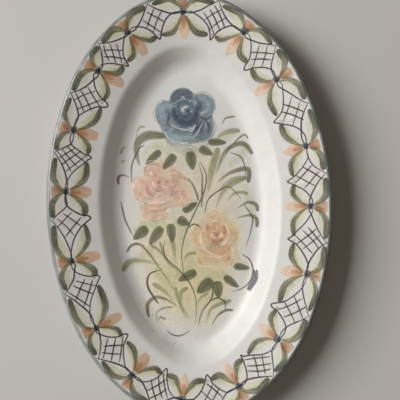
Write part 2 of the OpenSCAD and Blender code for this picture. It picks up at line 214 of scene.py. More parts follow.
GLAZE_WHITE = (0.80, 0.785, 0.765, 1)
GLAZE_THIN = (0.755, 0.745, 0.705, 1)
IRON_SPECK = (0.18, 0.13, 0.08, 1)
GLAZE_ROUGHNESS = 0.42
GLAZE_IOR = 1.5
CLAY_RED = (0.47, 0.27, 0.15, 1)
CLAY_TAN = (0.58, 0.37, 0.22, 1)
GROG = (0.72, 0.55, 0.38, 1)
CLAY_IRON = (0.17, 0.08, 0.05, 1)
CLAY_ROUGHNESS = 0.85


class Look:
    """A material being built: its shader, and short words for the nodes that feed it."""

    def __init__(self, name, roughness):
        self.material = bpy.data.materials.new(name)
        self.material.use_nodes = True
        self.tree = self.material.node_tree
        self.inputs = self.tree.nodes["Principled BSDF"].inputs
        self.inputs["Roughness"].default_value = roughness
        self.place = self.node("TexCoord").outputs["Object"]

    def node(self, kind, inputs=(), **settings):
        """A new node with its settings, whose inputs are linked or set."""
        made = self.tree.nodes.new("ShaderNode" + kind)
        for key, value in settings.items():
            setattr(made, key, value)
        for socket, value in dict(inputs).items():
            if isinstance(value, bpy.types.NodeSocket):
                self.tree.links.new(value, made.inputs[socket])
            else:
                made.inputs[socket].default_value = value
        return made

    def feed(self, socket, value):
        """Links a value to one of the shader's own sockets."""
        self.tree.links.new(value, self.inputs[socket])

    def calc(self, operation, a, b=0.5, clamp=False):
        """One step of arithmetic, which uses b only where its operation takes two values."""
        return self.node("Math", {0: a, 1: b}, operation=operation, use_clamp=clamp).outputs[0]

    def product(self, first, *others, clamp=False):
        """All the values multiplied, and the last step held to 0..1 if clamp is set."""
        for other in others[:-1]:
            first = self.calc("MULTIPLY", first, other)
        return self.calc("MULTIPLY", first, others[-1], clamp)

    def spread(self, value, low, high, to_low=0.0, to_high=1.0, style="LINEAR"):
        """Maps low..high to to_low..to_high, and stays inside them."""
        inputs = {"Value": value, "From Min": low, "From Max": high, "To Min": to_low,
                  "To Max": to_high}
        return self.node("MapRange", inputs, interpolation_type=style, clamp=True).outputs["Result"]

    def noise(self, scale, detail=3.0, rough=0.55, place=None):
        """Smooth noise over the piece's own space, unless it is given a place."""
        inputs = {"Vector": place or self.place, "Scale": scale, "Detail": detail, "Roughness": rough}
        return self.node("TexNoise", inputs).outputs["Fac"]

    def mixed(self, share, a, b, blend="MIX"):
        """Two colours mixed, through the colour sockets of a Mix node."""
        inputs = {0: share, 6: a, 7: b}
        return self.node("Mix", inputs, data_type="RGBA", blend_type=blend).outputs[2]

    def shaded(self, colour, value):
        """A colour times a value."""
        grey = self.node("CombineColor", {0: value, 1: value, 2: value}).outputs[0]
        return self.mixed(1.0, colour, grey, "MULTIPLY")

    def attribute(self, name, output):
        """The values that each point of a mesh carries under a name."""
        return self.node("Attribute", attribute_name=name).outputs[output]

    def orange_peel(self):
        """The gentle unevenness of a brushed and fired glaze, and its sheen."""
        broad, fine = self.noise(55, 2.0), self.noise(420, 2.0)
        soft = self.node("Bump", {"Strength": 0.35, "Distance": 0.0012, "Height": broad})
        peel = self.node("Bump", {"Strength": 0.25, "Distance": 0.0001, "Height": fine,
                                  "Normal": soft.outputs[0]})
        self.feed("Normal", peel.outputs[0])
        self.inputs["IOR"].default_value = GLAZE_IOR


def glaze_material():
    """White glaze, warm where it is thin, with faint clouds and specks of iron."""
    look = Look("white_glaze", GLAZE_ROUGHNESS)
    body = look.mixed(look.spread(look.noise(22, 4.0), 0.35, 0.7), GLAZE_WHITE, GLAZE_THIN)
    body = look.shaded(body, look.spread(look.noise(160, 4.0, 0.65), 0.3, 0.7, 0.965, 1.02))
    cells = look.node("TexVoronoi", {"Vector": look.place, "Scale": 110.0, "Randomness": 1.0})
    rare = look.spread(cells.outputs["Color"], 0.9, 0.93)
    near = look.spread(cells.outputs["Distance"], 0.05, 0.11, 1.0, 0.0)
    look.feed("Base Color", look.mixed(look.product(rare, near, 0.6), body, IRON_SPECK))
    look.orange_peel()
    return look.material


def clay_material():
    """Fired earthenware, grainy, with pale grog and darker iron spots."""
    look = Look("fired_clay", CLAY_ROUGHNESS)
    grain = look.noise(1900, 3.0, 0.7)
    body = look.mixed(look.spread(look.noise(60, 5.0), 0.3, 0.7), CLAY_RED, CLAY_TAN)
    body = look.mixed(look.spread(grain, 0.6, 0.72), body, GROG)
    look.feed("Base Color", look.mixed(look.spread(grain, 0.32, 0.25), body, CLAY_IRON))
    bump = look.node("Bump", {"Strength": 0.6, "Distance": 0.0003, "Height": grain})
    look.feed("Normal", bump.outputs[0])
    return look.material


def paint_material(name, grain_share=0.2, pooling=0.22, mottle=0.08, roughness=GLAZE_ROUGHNESS):
    """Thin paint: each stroke's own ink, with brush hairs, granulation and darker edges."""
    look = Look(name, roughness)
    along, across, seed = look.node("SeparateXYZ", {0: look.attribute("brush", "Vector")}).outputs
    cover, feather, dryness = look.node("SeparateXYZ", {0: look.attribute("flow", "Vector")}).outputs
    # Hairs run along the stroke, and each stroke's seed moves it to a place of its own.
    stretch = {0: look.product(along, 0.10), 1: look.product(across, 2.6), 2: look.product(seed, 41.0)}
    hairs = look.noise(1.6, 4.0, 0.6, look.node("CombineXYZ", stretch).outputs[0])
    grain, cloud = look.noise(900, 4.0, 0.7), look.noise(210)
    # Paint is soft and ragged at its edge, and breaks up between the hairs of a dry brush.
    inside = look.calc("SUBTRACT", 1.0, look.calc("ABSOLUTE", across))
    waver = look.product(look.spread(cloud, 0.3, 0.7, -0.10, 0.10), feather)
    soft = look.spread(look.calc("ADD", inside, waver), 0.0, feather, style="SMOOTHSTEP")
    bare = look.product(look.calc("SUBTRACT", 1.0, look.spread(hairs, 0.40, 0.60)), dryness)
    kept = look.calc("SUBTRACT", 1.0, bare, clamp=True)
    look.feed("Alpha", look.product(soft, cover, kept, clamp=True))
    pooled = look.spread(inside, 0.05, 0.45, 1.0 - pooling, 1.0)
    grains = look.spread(grain, 0.3, 0.7, 1.0 - grain_share, 1.0 + grain_share)
    sweep = look.spread(hairs, 0.3, 0.7, 0.86, 1.12)
    blotch = look.spread(cloud, 0.3, 0.7, 1.0 - mottle, 1.0 + mottle)
    ink = look.shaded(look.attribute("ink", "Color"), look.product(pooled, grains, sweep, blotch))
    look.feed("Base Color", ink)
    look.orange_peel()
    return look.material


# ---- Pieces ----------------------------------------------------------------------------------

# Points nearer than this are made one where a shell closes, in metres.
WELD_DISTANCE = 0.00002


def add_piece(name, replaced, points, faces, material, values=None):
    """A smooth mesh from points in millimetres, with its own values at each point."""
    mesh = bpy.data.meshes.new(name)
    mesh.from_pydata(settle(points).tolist(), [], faces)
    for key, value in (values or {}).items():
        kind = "FLOAT_COLOR" if key == "ink" else "FLOAT_VECTOR"
        layer = mesh.attributes.new(key, kind, "POINT")
        word = "color" if key == "ink" else "vector"
        layer.data.foreach_set(word, np.asarray(value, np.float32).ravel())
    mesh.polygons.foreach_set("use_smooth", [True] * len(mesh.polygons))
    mesh.materials.append(material)
    piece = bpy.data.objects.new(name, mesh)
    bpy.context.scene.collection.objects.link(piece)
    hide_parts(replaced)
    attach(piece, "root")
    return piece


def weld(piece):
    """Closes the seam where the rings meet along the middle of the plate."""
    work = bmesh.new()
    work.from_mesh(piece.data)
    bmesh.ops.remove_doubles(work, verts=work.verts, dist=WELD_DISTANCE)
    bmesh.ops.recalc_face_normals(work, faces=work.faces)
    work.to_mesh(piece.data)
    work.free()


# Rings past this depth close in on the middle line of the plate, a share at a time.
LAST_RING = FLOOR_EDGE + FLOOR_RUN - 0.3
SPINE_SHARE = 0.8
# How many points go round each ring of the clay body, of the coats outside, and of the foot
# ring and the glaze inside it.
CLAY_AROUND = 240
GLAZE_AROUND = 480
FOOT_AROUND = 360


def ring(s, depth):
    """A ring at a depth, where LAST_RING + 1 is the middle line."""
    flat = rim_point(s, min(depth, LAST_RING))
    share = max(0.0, depth - LAST_RING)
    spine = flat * (0, SPINE_SHARE)
    return flat + (spine - flat) * share


def ring_faces(count, around, closed=False):
    """Faces between each ring of points and the next, and round to the first if closed."""
    pairs = [(i, (i + 1) % count) for i in range(count if closed else count - 1)]
    steps = [(k, (k + 1) % around) for k in range(around)]
    return [(i * around + k, j * around + k, j * around + m, i * around + m)
            for i, j in pairs for k, m in steps]


def flipped(faces):
    """The same faces seen from their other side."""
    return [(a, d, c, b) for a, b, c, d in faces]


def swept(section, around, closed):
    """Points and faces of a section of (depth, height) swept round the plate."""
    s = np.arange(around) * ROUND_TRIP / around
    points = [np.column_stack([ring(s, d), np.full(around, z)]) for d, z in section]
    return np.concatenate(points), flipped(ring_faces(len(section), around, closed))


def floor_rows(height, count, inward=True):
    """Rows of a section from the last ring to the middle line, or back from it."""
    shares = np.linspace(0, 1, count + 1)[1:] if inward else np.linspace(1, 0, count + 1)[:-1]
    return np.array([(LAST_RING + share, height) for share in shares])


def to_last_ring(line):
    """Cuts a section line off at the last ring."""
    kept = line[line[:, 0] < LAST_RING - 0.2]
    return np.vstack([kept, (LAST_RING, line[-1, 1])])


def thinned(line, every):
    """Fewer points of a line, with both of its ends."""
    return np.vstack([line[:-1:every], line[-1]])


def bowl_shell(name, top, bottom, around, material):
    """A closed shell from the middle line out over the top, round the lip and back below."""
    section = np.vstack([
        floor_rows(bottom[-1, 1], 6, inward=False), bottom[::-1], top, floor_rows(top[-1, 1], 10)
    ])
    points, faces = swept(section, around, closed=False)
    piece = add_piece(name + "_shell", name, points, faces, material)
    weld(piece)
    return piece


def make_body(clay, glaze):
    """The clay with its foot ring, and the three coats of glaze."""
    under = np.vstack([under_lip(LIP_RADIUS), section_line(-WALL, 1)])
    bowl_shell("clay_body", to_last_ring(thinned(section_line(0), 2)),
               to_last_ring(thinned(under[1:], 2)), CLAY_AROUND, clay)
    bowl_shell("front_glaze", to_last_ring(section_line(GLAZE)),
               to_last_ring(thinned(section_line(APART), 2)), GLAZE_AROUND, glaze)
    edge = FLOOR_EDGE + FOOT_GAP
    back = np.vstack([under_lip(LIP_RADIUS + GLAZE), section_line(-WALL - GLAZE, 1, 5)])
    inner = np.vstack([under_lip(LIP_RADIUS - APART), section_line(-WALL + APART, 1, 5)])
    back_coat = swept(np.vstack([back, thinned(inner, 2)[::-1]]), GLAZE_AROUND, closed=True)
    foot = swept(foot_section(edge), FOOT_AROUND, closed=True)
    for name, replaced, (points, faces), material in (
        ("back_glaze_shell", "back_glaze", back_coat, glaze),
        ("foot_ring_turned", "foot_ring", foot, clay),
        ("base_glaze_disc", "base_glaze", base_coat(edge + FOOT_WIDTH), glaze),
    ):
        weld(add_piece(name, replaced, points, faces, material))


def foot_section(edge):
    """The foot ring's section, leaning in and worn round at its two lower corners."""
    corner, shoulder = 1.0, 2.0
    top = FOOT_HEIGHT + 0.05
    turn = np.radians(np.linspace(0, 90, 6))
    left = edge + FOOT_LEAN
    right = edge + FOOT_WIDTH - FOOT_LEAN
    outer = [(left + corner - corner * math.cos(a), corner - corner * math.sin(a)) for a in turn]
    inner = [(right - corner + corner * math.sin(a), corner - corner * math.cos(a)) for a in turn]
    start = [(edge, top), (edge + FOOT_LEAN / 2, shoulder)]
    stop = [(edge + FOOT_WIDTH - FOOT_LEAN / 2, shoulder), (edge + FOOT_WIDTH, top)]
    return np.array(start + outer + inner + stop)


def base_coat(edge):
    """The coat inside the foot ring, as rings that close in on the middle line."""
    rim = rim_point(np.arange(FOOT_AROUND) * ROUND_TRIP / FOOT_AROUND, edge)
    flats = [rim + (rim * (0, SPINE_SHARE) - rim) * share for share in np.linspace(0, 1, 9)]
    layers = [(flat, FOOT_HEIGHT - GLAZE) for flat in flats[::-1]]
    layers += [(flat, FOOT_HEIGHT - APART) for flat in flats]
    points = [np.column_stack([flat, np.full(FOOT_AROUND, height)]) for flat, height in layers]
    return np.concatenate(points), flipped(ring_faces(len(points), FOOT_AROUND))


# ---- Brush strokes ---------------------------------------------------------------------------

def through(points, t):
    """Points at shares t on the smooth line through a list of points."""
    p = np.asarray(points, float)
    n = len(p) - 1
    i = np.minimum(np.floor(t * n).astype(int), n - 1)
    u = (t * n - i)[:, None]
    a, b = p[np.maximum(i - 1, 0)], p[i]
    c, d = p[i + 1], p[np.minimum(i + 2, n)]
    return (2 * b + (c - a) * u + (2 * a - 5 * b + 4 * c - d) * u ** 2
            + (3 * b - 3 * c + d - a) * u ** 3) / 2


def opening(t, peak, tip=0.12, blunt=True):
    """A brush's share of its full width: it opens from its start, is full at the peak, closes."""
    rising = tip + (1 - tip) * np.sin(np.pi / 2 * np.minimum(t / peak, 1))
    past = np.maximum(0, (t - peak) / (1 - peak))
    falling = np.sqrt(np.maximum(0.01, 1 - past ** 2)) if blunt else 0.06 + 0.94 * (1 - past ** 1.6)
    return np.where(t < peak, rising, falling)


def gradient(values, t):
    """Blends along a list of values, colours or numbers, at shares t."""
    values = np.atleast_1d(np.asarray(values, float))
    if len(values) == 1:
        return np.repeat(values, len(t), axis=0)
    stops = np.linspace(0, 1, len(values))
    if values.ndim == 1:
        return np.interp(t, stops, values)
    return np.stack([np.interp(t, stops, values[:, k]) for k in range(values.shape[1])], -1)


def spread(shape, *values):
    """A row of values for each point of a grid."""
    return np.stack([np.broadcast_to(value, shape) for value in values], -1).reshape(-1, len(values))


# How far the underside of each film lies in the glaze.
SUNK = 0.05
# How far apart a stroke's rows of points lie, unless it asks for a number of rows.
ROW_SPACING = 1.2


class Painting:
    """Gathers the strokes of one piece, and lays them on the glaze."""

    def __init__(self, base, seed, size=1.0):
        self.base, self.size = base, size
        self.rows, self.faces = [], []
        self.count = 0
        self.random = np.random.default_rng(seed)

    def _lay(self, flat, lift, ink, brush, flow, faces):
        """Adds points at their lifts over the glaze, each with its ink, brush and flow."""
        height = top_of_glaze(flat) + lift
        self.rows.append(np.column_stack([flat, height, ink, np.ones(len(ink)), brush, flow]))
        self.faces += [tuple(self.count + i for i in face) for face in faces]
        self.count += len(flat)

    def stroke(self, points, width, inks, cover=0.95, feather=0.3, dry=0.0, peak=0.5,
               tip=0.12, columns=4, rows=None, over=0.0, blunt=True):
        """One pull of the brush through points, as a closed film that bulges on the glaze."""
        path = np.asarray(points, float) * self.size
        length = np.sum(np.linalg.norm(np.diff(path, axis=0), axis=1))
        rows = rows or int(np.clip(length / ROW_SPACING, 6, 48))
        t = np.linspace(0, 1, rows + 1)
        ahead = through(path, np.minimum(t + 0.02, 1)) - through(path, np.maximum(t - 0.02, 0))
        side = np.stack([-ahead[:, 1], ahead[:, 0]], -1) / np.linalg.norm(ahead, axis=1)[:, None]
        half = width / 2 * opening(t, peak, tip, blunt)
        upper = np.linspace(-1, 1, columns + 1)
        v = np.concatenate([upper, upper[-2:0:-1]])
        flat = through(path, t)[:, None] + side[:, None] * (half[:, None] * v)[..., None]
        ends = np.clip(np.minimum(t, 1 - t) / 0.05, 0, 1)
        crown = np.where(np.arange(len(v)) <= columns, np.sqrt(np.maximum(0, 1 - v ** 4)), 0)
        lift = (self.base + over + SUNK) * crown * ends[:, None] - SUNK
        shape = lift.shape
        brush = spread(shape, (t * length)[:, None], v, self.random.random())
        flow = spread(shape, gradient(cover, t)[:, None], feather, gradient(dry, t)[:, None])
        ink = np.repeat(gradient(np.atleast_2d(inks), t), len(v), axis=0)
        first, last = range(len(v)), range(rows * len(v), (rows + 1) * len(v))
        faces = ring_faces(rows + 1, len(v)) + [tuple(first), tuple(reversed(last))]
        self._lay(flat.reshape(-1, 2), lift.ravel(), ink, brush, flow, faces)

    def dab(self, outline, focus, inks, cover=0.95, feather=0.3, dry=0.0, rings=8, over=0.0):
        """A pressed dab: rings from a focus out to an outline. Inks run from focus to edge."""
        outline = np.asarray(outline, float) * self.size
        focus = np.asarray(focus, float) * self.size
        count = len(outline)
        upper = np.linspace(0, 1, rings + 1)[1:]
        r = np.concatenate([upper, upper[-2::-1]])
        flat = focus + (outline - focus) * r[:, None, None]
        top = self.base + over
        crown = np.where(np.arange(len(r)) < rings, np.sqrt(np.maximum(0, 1 - r ** 6)), 0)
        lift = np.repeat((top + SUNK) * crown - SUNK, count)
        seed = self.random.random()
        around = np.linspace(0, 1, count, endpoint=False) * 2 * np.pi
        reach = np.mean(np.linalg.norm(outline - focus, axis=1))
        shape = flat.shape[:2]
        brush = spread(shape, np.sin(around) * reach, r[:, None], seed)
        flow = spread(shape, gradient(cover, r)[:, None], feather, dry)
        ink = np.repeat(gradient(np.atleast_2d(inks), r), count, axis=0)
        middle = len(r) * count
        faces = ring_faces(len(r), count)
        faces += [(middle, k, (k + 1) % count) for k in range(count)]
        faces += [(middle + 1, middle - 1 - k, middle - 1 - (k + 1) % count) for k in range(count)]
        # The two last points are the dab's middle, on its upper side and on its underside.
        self._lay(np.vstack([flat.reshape(-1, 2), focus, focus]), np.append(lift, [top, -SUNK]),
                  np.vstack([ink, ink[:1], ink[:1]]), np.vstack([brush, [[0, 0, seed]] * 2]),
                  np.vstack([flow, flow[:1], flow[:1]]), faces)

    def finish(self, name, replaced, *look):
        """Makes the piece, in a paint with the given name and look."""
        rows = np.vstack(self.rows)
        values = {"ink": rows[:, 3:7], "brush": rows[:, 7:10], "flow": rows[:, 10:]}
        piece = add_piece(name, replaced, rows[:, :3], self.faces, paint_material(*look), values)
        piece.visible_shadow = False
        return piece


def oval(centre, radii, tilt=0.0, count=36, uneven=0.0, lobes=3, phase=0.0):
    """An uneven oval outline round a centre."""
    a = np.linspace(0, 2 * np.pi, count, endpoint=False)
    swell = 1 + uneven * np.sin(lobes * a + phase) + 0.5 * uneven * np.sin((lobes + 2) * a + 2 * phase)
    x, y = radii[0] * np.cos(a) * swell, radii[1] * np.sin(a) * swell
    c, s = math.cos(math.radians(tilt)), math.sin(math.radians(tilt))
    return np.stack([centre[0] + c * x - s * y, centre[1] + s * x + c * y], -1)


# ---- The painted rim -------------------------------------------------------------------------

# Where each knot was painted, in millimetres round the lip from the middle of the right side.
KNOTS = (41, 97, 143, 198, 249, 287, 337, 383, 435, 489, 536, 583, 634, 684, 739, 790)
# Where each lattice's points reach, on the lip's side and on the well's side, round the lip.
LIP_TIPS = (71, 118, 171, 224, 271, 312, 356, 404, 457, 509, 561, 608, 660, 710, 764, 20)
WELL_TIPS = (67, 121, 166, 227, 269, 310, 355, 404, 453, 508, 559, 609, 653, 708, 764, 17)
# How deep each knot lies, from the lip's edge towards the well.
KNOT_DEPTHS = (13, 16, 12, 13, 12, 13, 12, 13, 13, 13, 13, 13, 13, 15, 13, 15)
# The half motif below is drawn round a knot of this depth, then pulled to its own knot.
KNOT_DEPTH = 14.0
# How deep each lattice's points lie, on the lip's side and on the well's side.
LIP_TIP = 2.3
WELL_TIP = 28.8
# The buds of the knots left of this line, in millimetres from the middle, are blunt, and browner: partly
# their own paint and partly painted shade of the rim's left side, which faces away from the light.
SHADED_LEFT_BUDS = -40
# The half motif's strokes: each point's share of the way to the next knot, and its depth.
LIP_LOOP = ((0.02, 12.6), (0.09, 7.4), (0.23, 3.7), (0.45, 4.3))
WELL_LOOP = ((0.02, 15.6), (0.10, 21.6), (0.24, 26.4), (0.44, 25.4))
WELL_WASH = ((0.04, 16.2), (0.12, 19.8), (0.24, 23.2), (0.39, 23.6))
LIP_WASH = ((0.04, 12.2), (0.12, 9.6), (0.23, 7.2), (0.38, 6.0))

CHARCOAL = (0.034, 0.029, 0.024)
OLIVE = (0.096, 0.088, 0.031)
DEEP_OLIVE = (0.040, 0.038, 0.014)
PALE_OLIVE = (0.50, 0.49, 0.28)
LAVENDER = (0.61, 0.56, 0.53)
SLATE = (0.050, 0.060, 0.082)
INK_BLUE = (0.022, 0.026, 0.038)
PEACH = (0.56, 0.33, 0.145)
BROWN_PEACH = (0.40, 0.20, 0.078)
RUST = (0.34, 0.135, 0.055)
ROSY = (0.40, 0.20, 0.145)
PALE_PEACH = (0.70, 0.48, 0.30)
LIP_DARK = (0.070, 0.088, 0.074)
LIP_GREY = (0.15, 0.18, 0.16)
LIP_ROUGHNESS = 0.22


def next_knot(k):
    """Where the knot after knot k lies, counted on past the end of a round trip."""
    later = KNOTS[(k + 1) % len(KNOTS)]
    return later if later > KNOTS[k] else later + ROUND_TRIP


def placed(k, points, end=0):
    """Points of motif k given from its first knot (end 0) or its last (end 1), on the plate."""
    pitch = next_knot(k) - KNOTS[k]
    share = np.array([p[0] if end == 0 else 1 - p[0] for p in points])
    depth = np.array([p[1] for p in points], float)
    first, last = KNOT_DEPTHS[k] - KNOT_DEPTH, KNOT_DEPTHS[(k + 1) % len(KNOTS)] - KNOT_DEPTH
    pull = first * np.clip(1 - 2 * share, 0, 1) + last * np.clip(2 * share - 1, 0, 1)
    return rim_point(KNOTS[k] + pitch * share, depth + pull * np.minimum(1, depth / KNOT_DEPTH))


def tip_share(k, tips):
    """Where a lattice's point lies between its two knots."""
    reach = tips[k] if tips[k] > KNOTS[k] else tips[k] + ROUND_TRIP
    return (reach - KNOTS[k]) / (next_knot(k) - KNOTS[k])


def stretched(points, share, end):
    """Moves a half motif's points so that its tip lands on the given share of the pitch."""
    scale = (share if end == 0 else 1 - share) / 0.5
    return [(p[0] * (1 + (scale - 1) * min(1, max(0, p[0]) * 2)), p[1]) for p in points]


def nudged(random, points, along=0.008, deep=0.35):
    """Points moved a little by chance, along the rim as a share of the pitch and in depth."""
    return [(p[0] + random.normal(0, along), p[1] + random.normal(0, deep)) for p in points]


def half_motif(k, points, tips, end, random, deep=0.35):
    """Points of half a motif, stretched to its own lattice and a little unsteady."""
    return placed(k, nudged(random, stretched(points, tip_share(k, tips), end), deep=deep), end)


def paint_washes():
    """Pale washes inside each loop, a halo outside it and a cool ground under the lattice."""
    painting = Painting(0.02, 11)
    random = painting.random
    pale = np.array(PALE_OLIVE)
    pool = [(along, deep + 1.2) for along, deep in WELL_WASH[1:]]
    for k in range(len(KNOTS)):
        lip, well = tip_share(k, LIP_TIPS), tip_share(k, WELL_TIPS)
        ground = placed(k, [(lip, LIP_TIP + 1), ((lip + well) / 2, KNOT_DEPTH), (well, WELL_TIP - 2)])
        painting.stroke(ground, 20, LAVENDER, cover=0.48, feather=0.35, columns=8, tip=0.15,
                        blunt=False)
        smudge = placed(k, [(well - 0.03, WELL_TIP - 2), (well, WELL_TIP - 5)])
        painting.stroke(smudge, 3.5, OLIVE, cover=random.uniform(0.1, 0.6), feather=0.9, dry=0.3,
                        peak=0.4, columns=6, over=0.03)
        for end in (0, 1):
            for points, tips, width in ((WELL_LOOP, WELL_TIPS, 10), (LIP_LOOP, LIP_TIPS, 7.5)):
                painting.stroke(half_motif(k, points, tips, end, random), width, PALE_OLIVE,
                                cover=0.4, feather=1.0, columns=6, tip=0.4)
            for points, tips, width in ((WELL_WASH, WELL_TIPS, 8.5), (LIP_WASH, LIP_TIPS, 8)):
                wash = half_motif(k, points, tips, end, random)
                inks = [pale * 1.25, pale * random.uniform(0.75, 1.1)]
                painting.stroke(wash, width, inks, cover=random.uniform(0.35, 0.6), feather=0.8,
                                dry=0.1, peak=0.6, columns=6, tip=0.3, over=0.02)
            painting.stroke(half_motif(k, pool, WELL_TIPS, end, random), 5.5, pale * 0.8,
                            cover=random.uniform(0.3, 0.65), feather=1.0, columns=6, over=0.04)
    return painting.finish("rim_washes_brushed", "rim_washes", "wash_green", 0.1, 0.1, 0.15)


def paint_loops():
    """Four olive comma strokes to each motif, thin by the knot and heavy at the far end."""
    painting = Painting(0.09, 23)
    random = painting.random
    shades = np.array([np.multiply(OLIVE, 1.35), OLIVE, np.multiply(OLIVE, 0.75), DEEP_OLIVE])
    for k in range(len(KNOTS)):
        for end in (0, 1):
            for points, tips, width in ((WELL_LOOP, WELL_TIPS, 5.2), (LIP_LOOP, LIP_TIPS, 5.9)):
                path = half_motif(k, points, tips, end, random, 0.22)
                size = width * random.uniform(0.8, 1.15)
                painting.stroke(path, size, shades * random.uniform(0.65, 1.15),
                                cover=[0.8, 0.78, 0.88, 0.95], feather=0.4,
                                dry=[0.4, 0.35, 0.25, 0.1], peak=0.76, columns=6)
    return painting.finish("rim_loops_brushed", "rim_loops", "loop_olive", 0.22, 0.2, 0.15)


def paint_buds():
    """Rosebuds on both sides of each knot: one by the well, and a fanned one by the lip."""
    painting = Painting(0.06, 31)
    random = painting.random
    # How deep the well's side buds begin, and how far they run.
    start, run = 16.5, 16.5
    for k in range(len(KNOTS)):
        lean = random.normal(0, 0.025)
        reach = random.uniform(0.85, 1.1)
        bud = [(0.0, start), (lean * 0.3, start + run * reach * 0.4), (lean, start + run * reach)]
        blush = random.uniform(0.0, 0.4)
        petal = np.array(PEACH) * (1 - blush) + np.array(ROSY) * blush
        left = rim_point(KNOTS[k], 0)[0] < SHADED_LEFT_BUDS
        # On the left the buds start browner, partly painted shade; on the right they end pale.
        inks = [BROWN_PEACH, petal, petal * 1.15] if left else [petal, PALE_PEACH, PALE_PEACH]
        painting.stroke(placed(k, bud), random.uniform(10, 12.5), inks, cover=[0.93, 0.88, 0.78],
                        feather=0.4, dry=[0.2, 0.4], peak=0.48, columns=6, tip=0.3, blunt=left)
        core = [(0.0, start), (lean * 0.3 + 0.01, start + 4), (lean * 0.6, start + 9 * reach)]
        painting.stroke(placed(k, core), 6.5, [RUST, np.array(RUST) * 1.3], cover=[0.85, 0.6],
                        feather=0.9, dry=[0.2, 0.5], peak=0.45, over=0.03)
        lip = [(0.0, 11.9), (-lean / 2, 8.2), (-lean, 2.9)]
        painting.stroke(placed(k, lip), random.uniform(10, 12), [RUST, BROWN_PEACH, petal],
                        cover=[0.95, 0.9, 0.85], feather=0.45, dry=[0.2, 0.35], peak=0.8, columns=6)
        core = [(0.0, 11.5), (-lean / 2 - 0.02, 8.5), (-lean - 0.04, 4.5)]
        painting.stroke(placed(k, core), 4.2, [RUST, BROWN_PEACH], cover=[0.85, 0.65],
                        feather=0.9, dry=0.4, over=0.03)
    return painting.finish("rim_buds_brushed", "rim_buds", "bud_peach", 0.18, 0.2, 0.15)


def side_line(k, tips, tip, end, eye, crossing, random):
    """One side of a lattice: from beyond its knot, round the eye, over the crossing and out."""
    share = tip_share(k, tips)
    half_pitch = share if end == 0 else 1 - share
    reach = (tip - KNOT_DEPTH) * random.uniform(0.8, 1.15)
    points = [(-0.03, KNOT_DEPTH + 0.5 * eye), (crossing * 0.5, KNOT_DEPTH - eye),
              (crossing, KNOT_DEPTH)]
    points += [(crossing + (half_pitch - crossing) * along, KNOT_DEPTH + reach * deep)
               for along, deep in ((0.36, 0.23), (0.72, 0.60))]
    return nudged(random, points, 0.004, 0.15)


def paint_lattice():
    """The dark net of each motif: two lines that cross beside the knots, and the hatching."""
    painting = Painting(0.12, 47)
    random = painting.random
    for k in range(len(KNOTS)):
        lip = (tip_share(k, LIP_TIPS), LIP_TIP + random.uniform(-0.4, 0.6))
        well = (tip_share(k, WELL_TIPS), WELL_TIP + random.uniform(-1.0, 1.5))
        eyes = np.minimum(1.4, np.abs(random.normal(0, 0.7, 2)) + 0.15)
        crossings = random.uniform(0.10, 0.24, 2)
        for end in (0, 1):
            line = side_line(k, LIP_TIPS, lip[1], end, -eyes[end], crossings[end], random)
            far = (lip[0] if end == 0 else 1 - lip[0]) + random.uniform(0.0, 0.03)
            painting.stroke(placed(k, line + [(far, lip[1])], end), random.uniform(1.3, 1.7),
                            CHARCOAL, feather=0.45, dry=0.1, tip=0.6, rows=36)
        near, back = [side_line(k, WELL_TIPS, well[1], end, eyes[end], crossings[end], random)
                      for end in (0, 1)]
        bend = random.uniform(0.02, 0.05)
        turn = [(well[0] - bend, well[1] - 1.9), well, (well[0] + bend, well[1] - 1.9)]
        line = near + turn + [(1 - p[0], p[1]) for p in reversed(back)]
        painting.stroke(placed(k, line), random.uniform(1.3, 1.7), CHARCOAL, feather=0.45, dry=0.1,
                        tip=0.8, rows=84)
        paint_hatching(painting, k, np.array(lip), np.array(well), random)
    return painting.finish("rim_lattice_drawn", "rim_lattice", "liner_black", 0.1, 0.0, 0.0)


def paint_hatching(painting, k, lip, well, random):
    """Lines across the lattice in its two directions."""
    near, far = np.array([0.22, KNOT_DEPTH]), np.array([0.78, KNOT_DEPTH])
    for first, second in (((near, lip), (well, far)), ((near, well), (lip, far))):
        across = (0.26, 0.53, 0.80) if random.random() < 0.3 else (0.36, 0.70)
        for share in across:
            share = share + random.normal(0, 0.03)
            a, b = [line[0] + (line[1] - line[0]) * share for line in (first, second)]
            start, stop = random.uniform(-0.04, 0.10), random.uniform(0.90, 1.05)
            middle = (a + b) / 2 + (0, random.normal(0, 0.5))
            path = [a + (b - a) * start, middle, a + (b - a) * stop]
            painting.stroke(placed(k, path), random.uniform(1.2, 1.65), CHARCOAL, cover=0.93,
                            feather=0.45, dry=0.12, tip=0.55, rows=9, over=0.02)


def paint_knots():
    """A pressed dab of blue-black where each pair of motifs meets."""
    painting = Painting(0.15, 59)
    random = painting.random
    for k in range(len(KNOTS)):
        centre = rim_point(KNOTS[k], KNOT_DEPTHS[k])
        for size, inks, cover in ((1.0, [INK_BLUE, SLATE], 0.85), (0.62, [INK_BLUE, INK_BLUE], 0.8)):
            spot = centre + random.normal(0, 0.5, 2) * size
            radii = np.array([random.uniform(3.0, 4.0), random.uniform(2.7, 3.4)]) * size
            shape = oval(spot, radii, random.uniform(0, 90), 24, 0.10, 3, random.uniform(0, 6))
            painting.dab(shape, spot, inks, cover=cover, feather=0.4, dry=0.15, rings=4,
                         over=0.03 * (1 - size))
    return painting.finish("rim_knots_dabbed", "rim_knots", "knot_blue", 0.3)


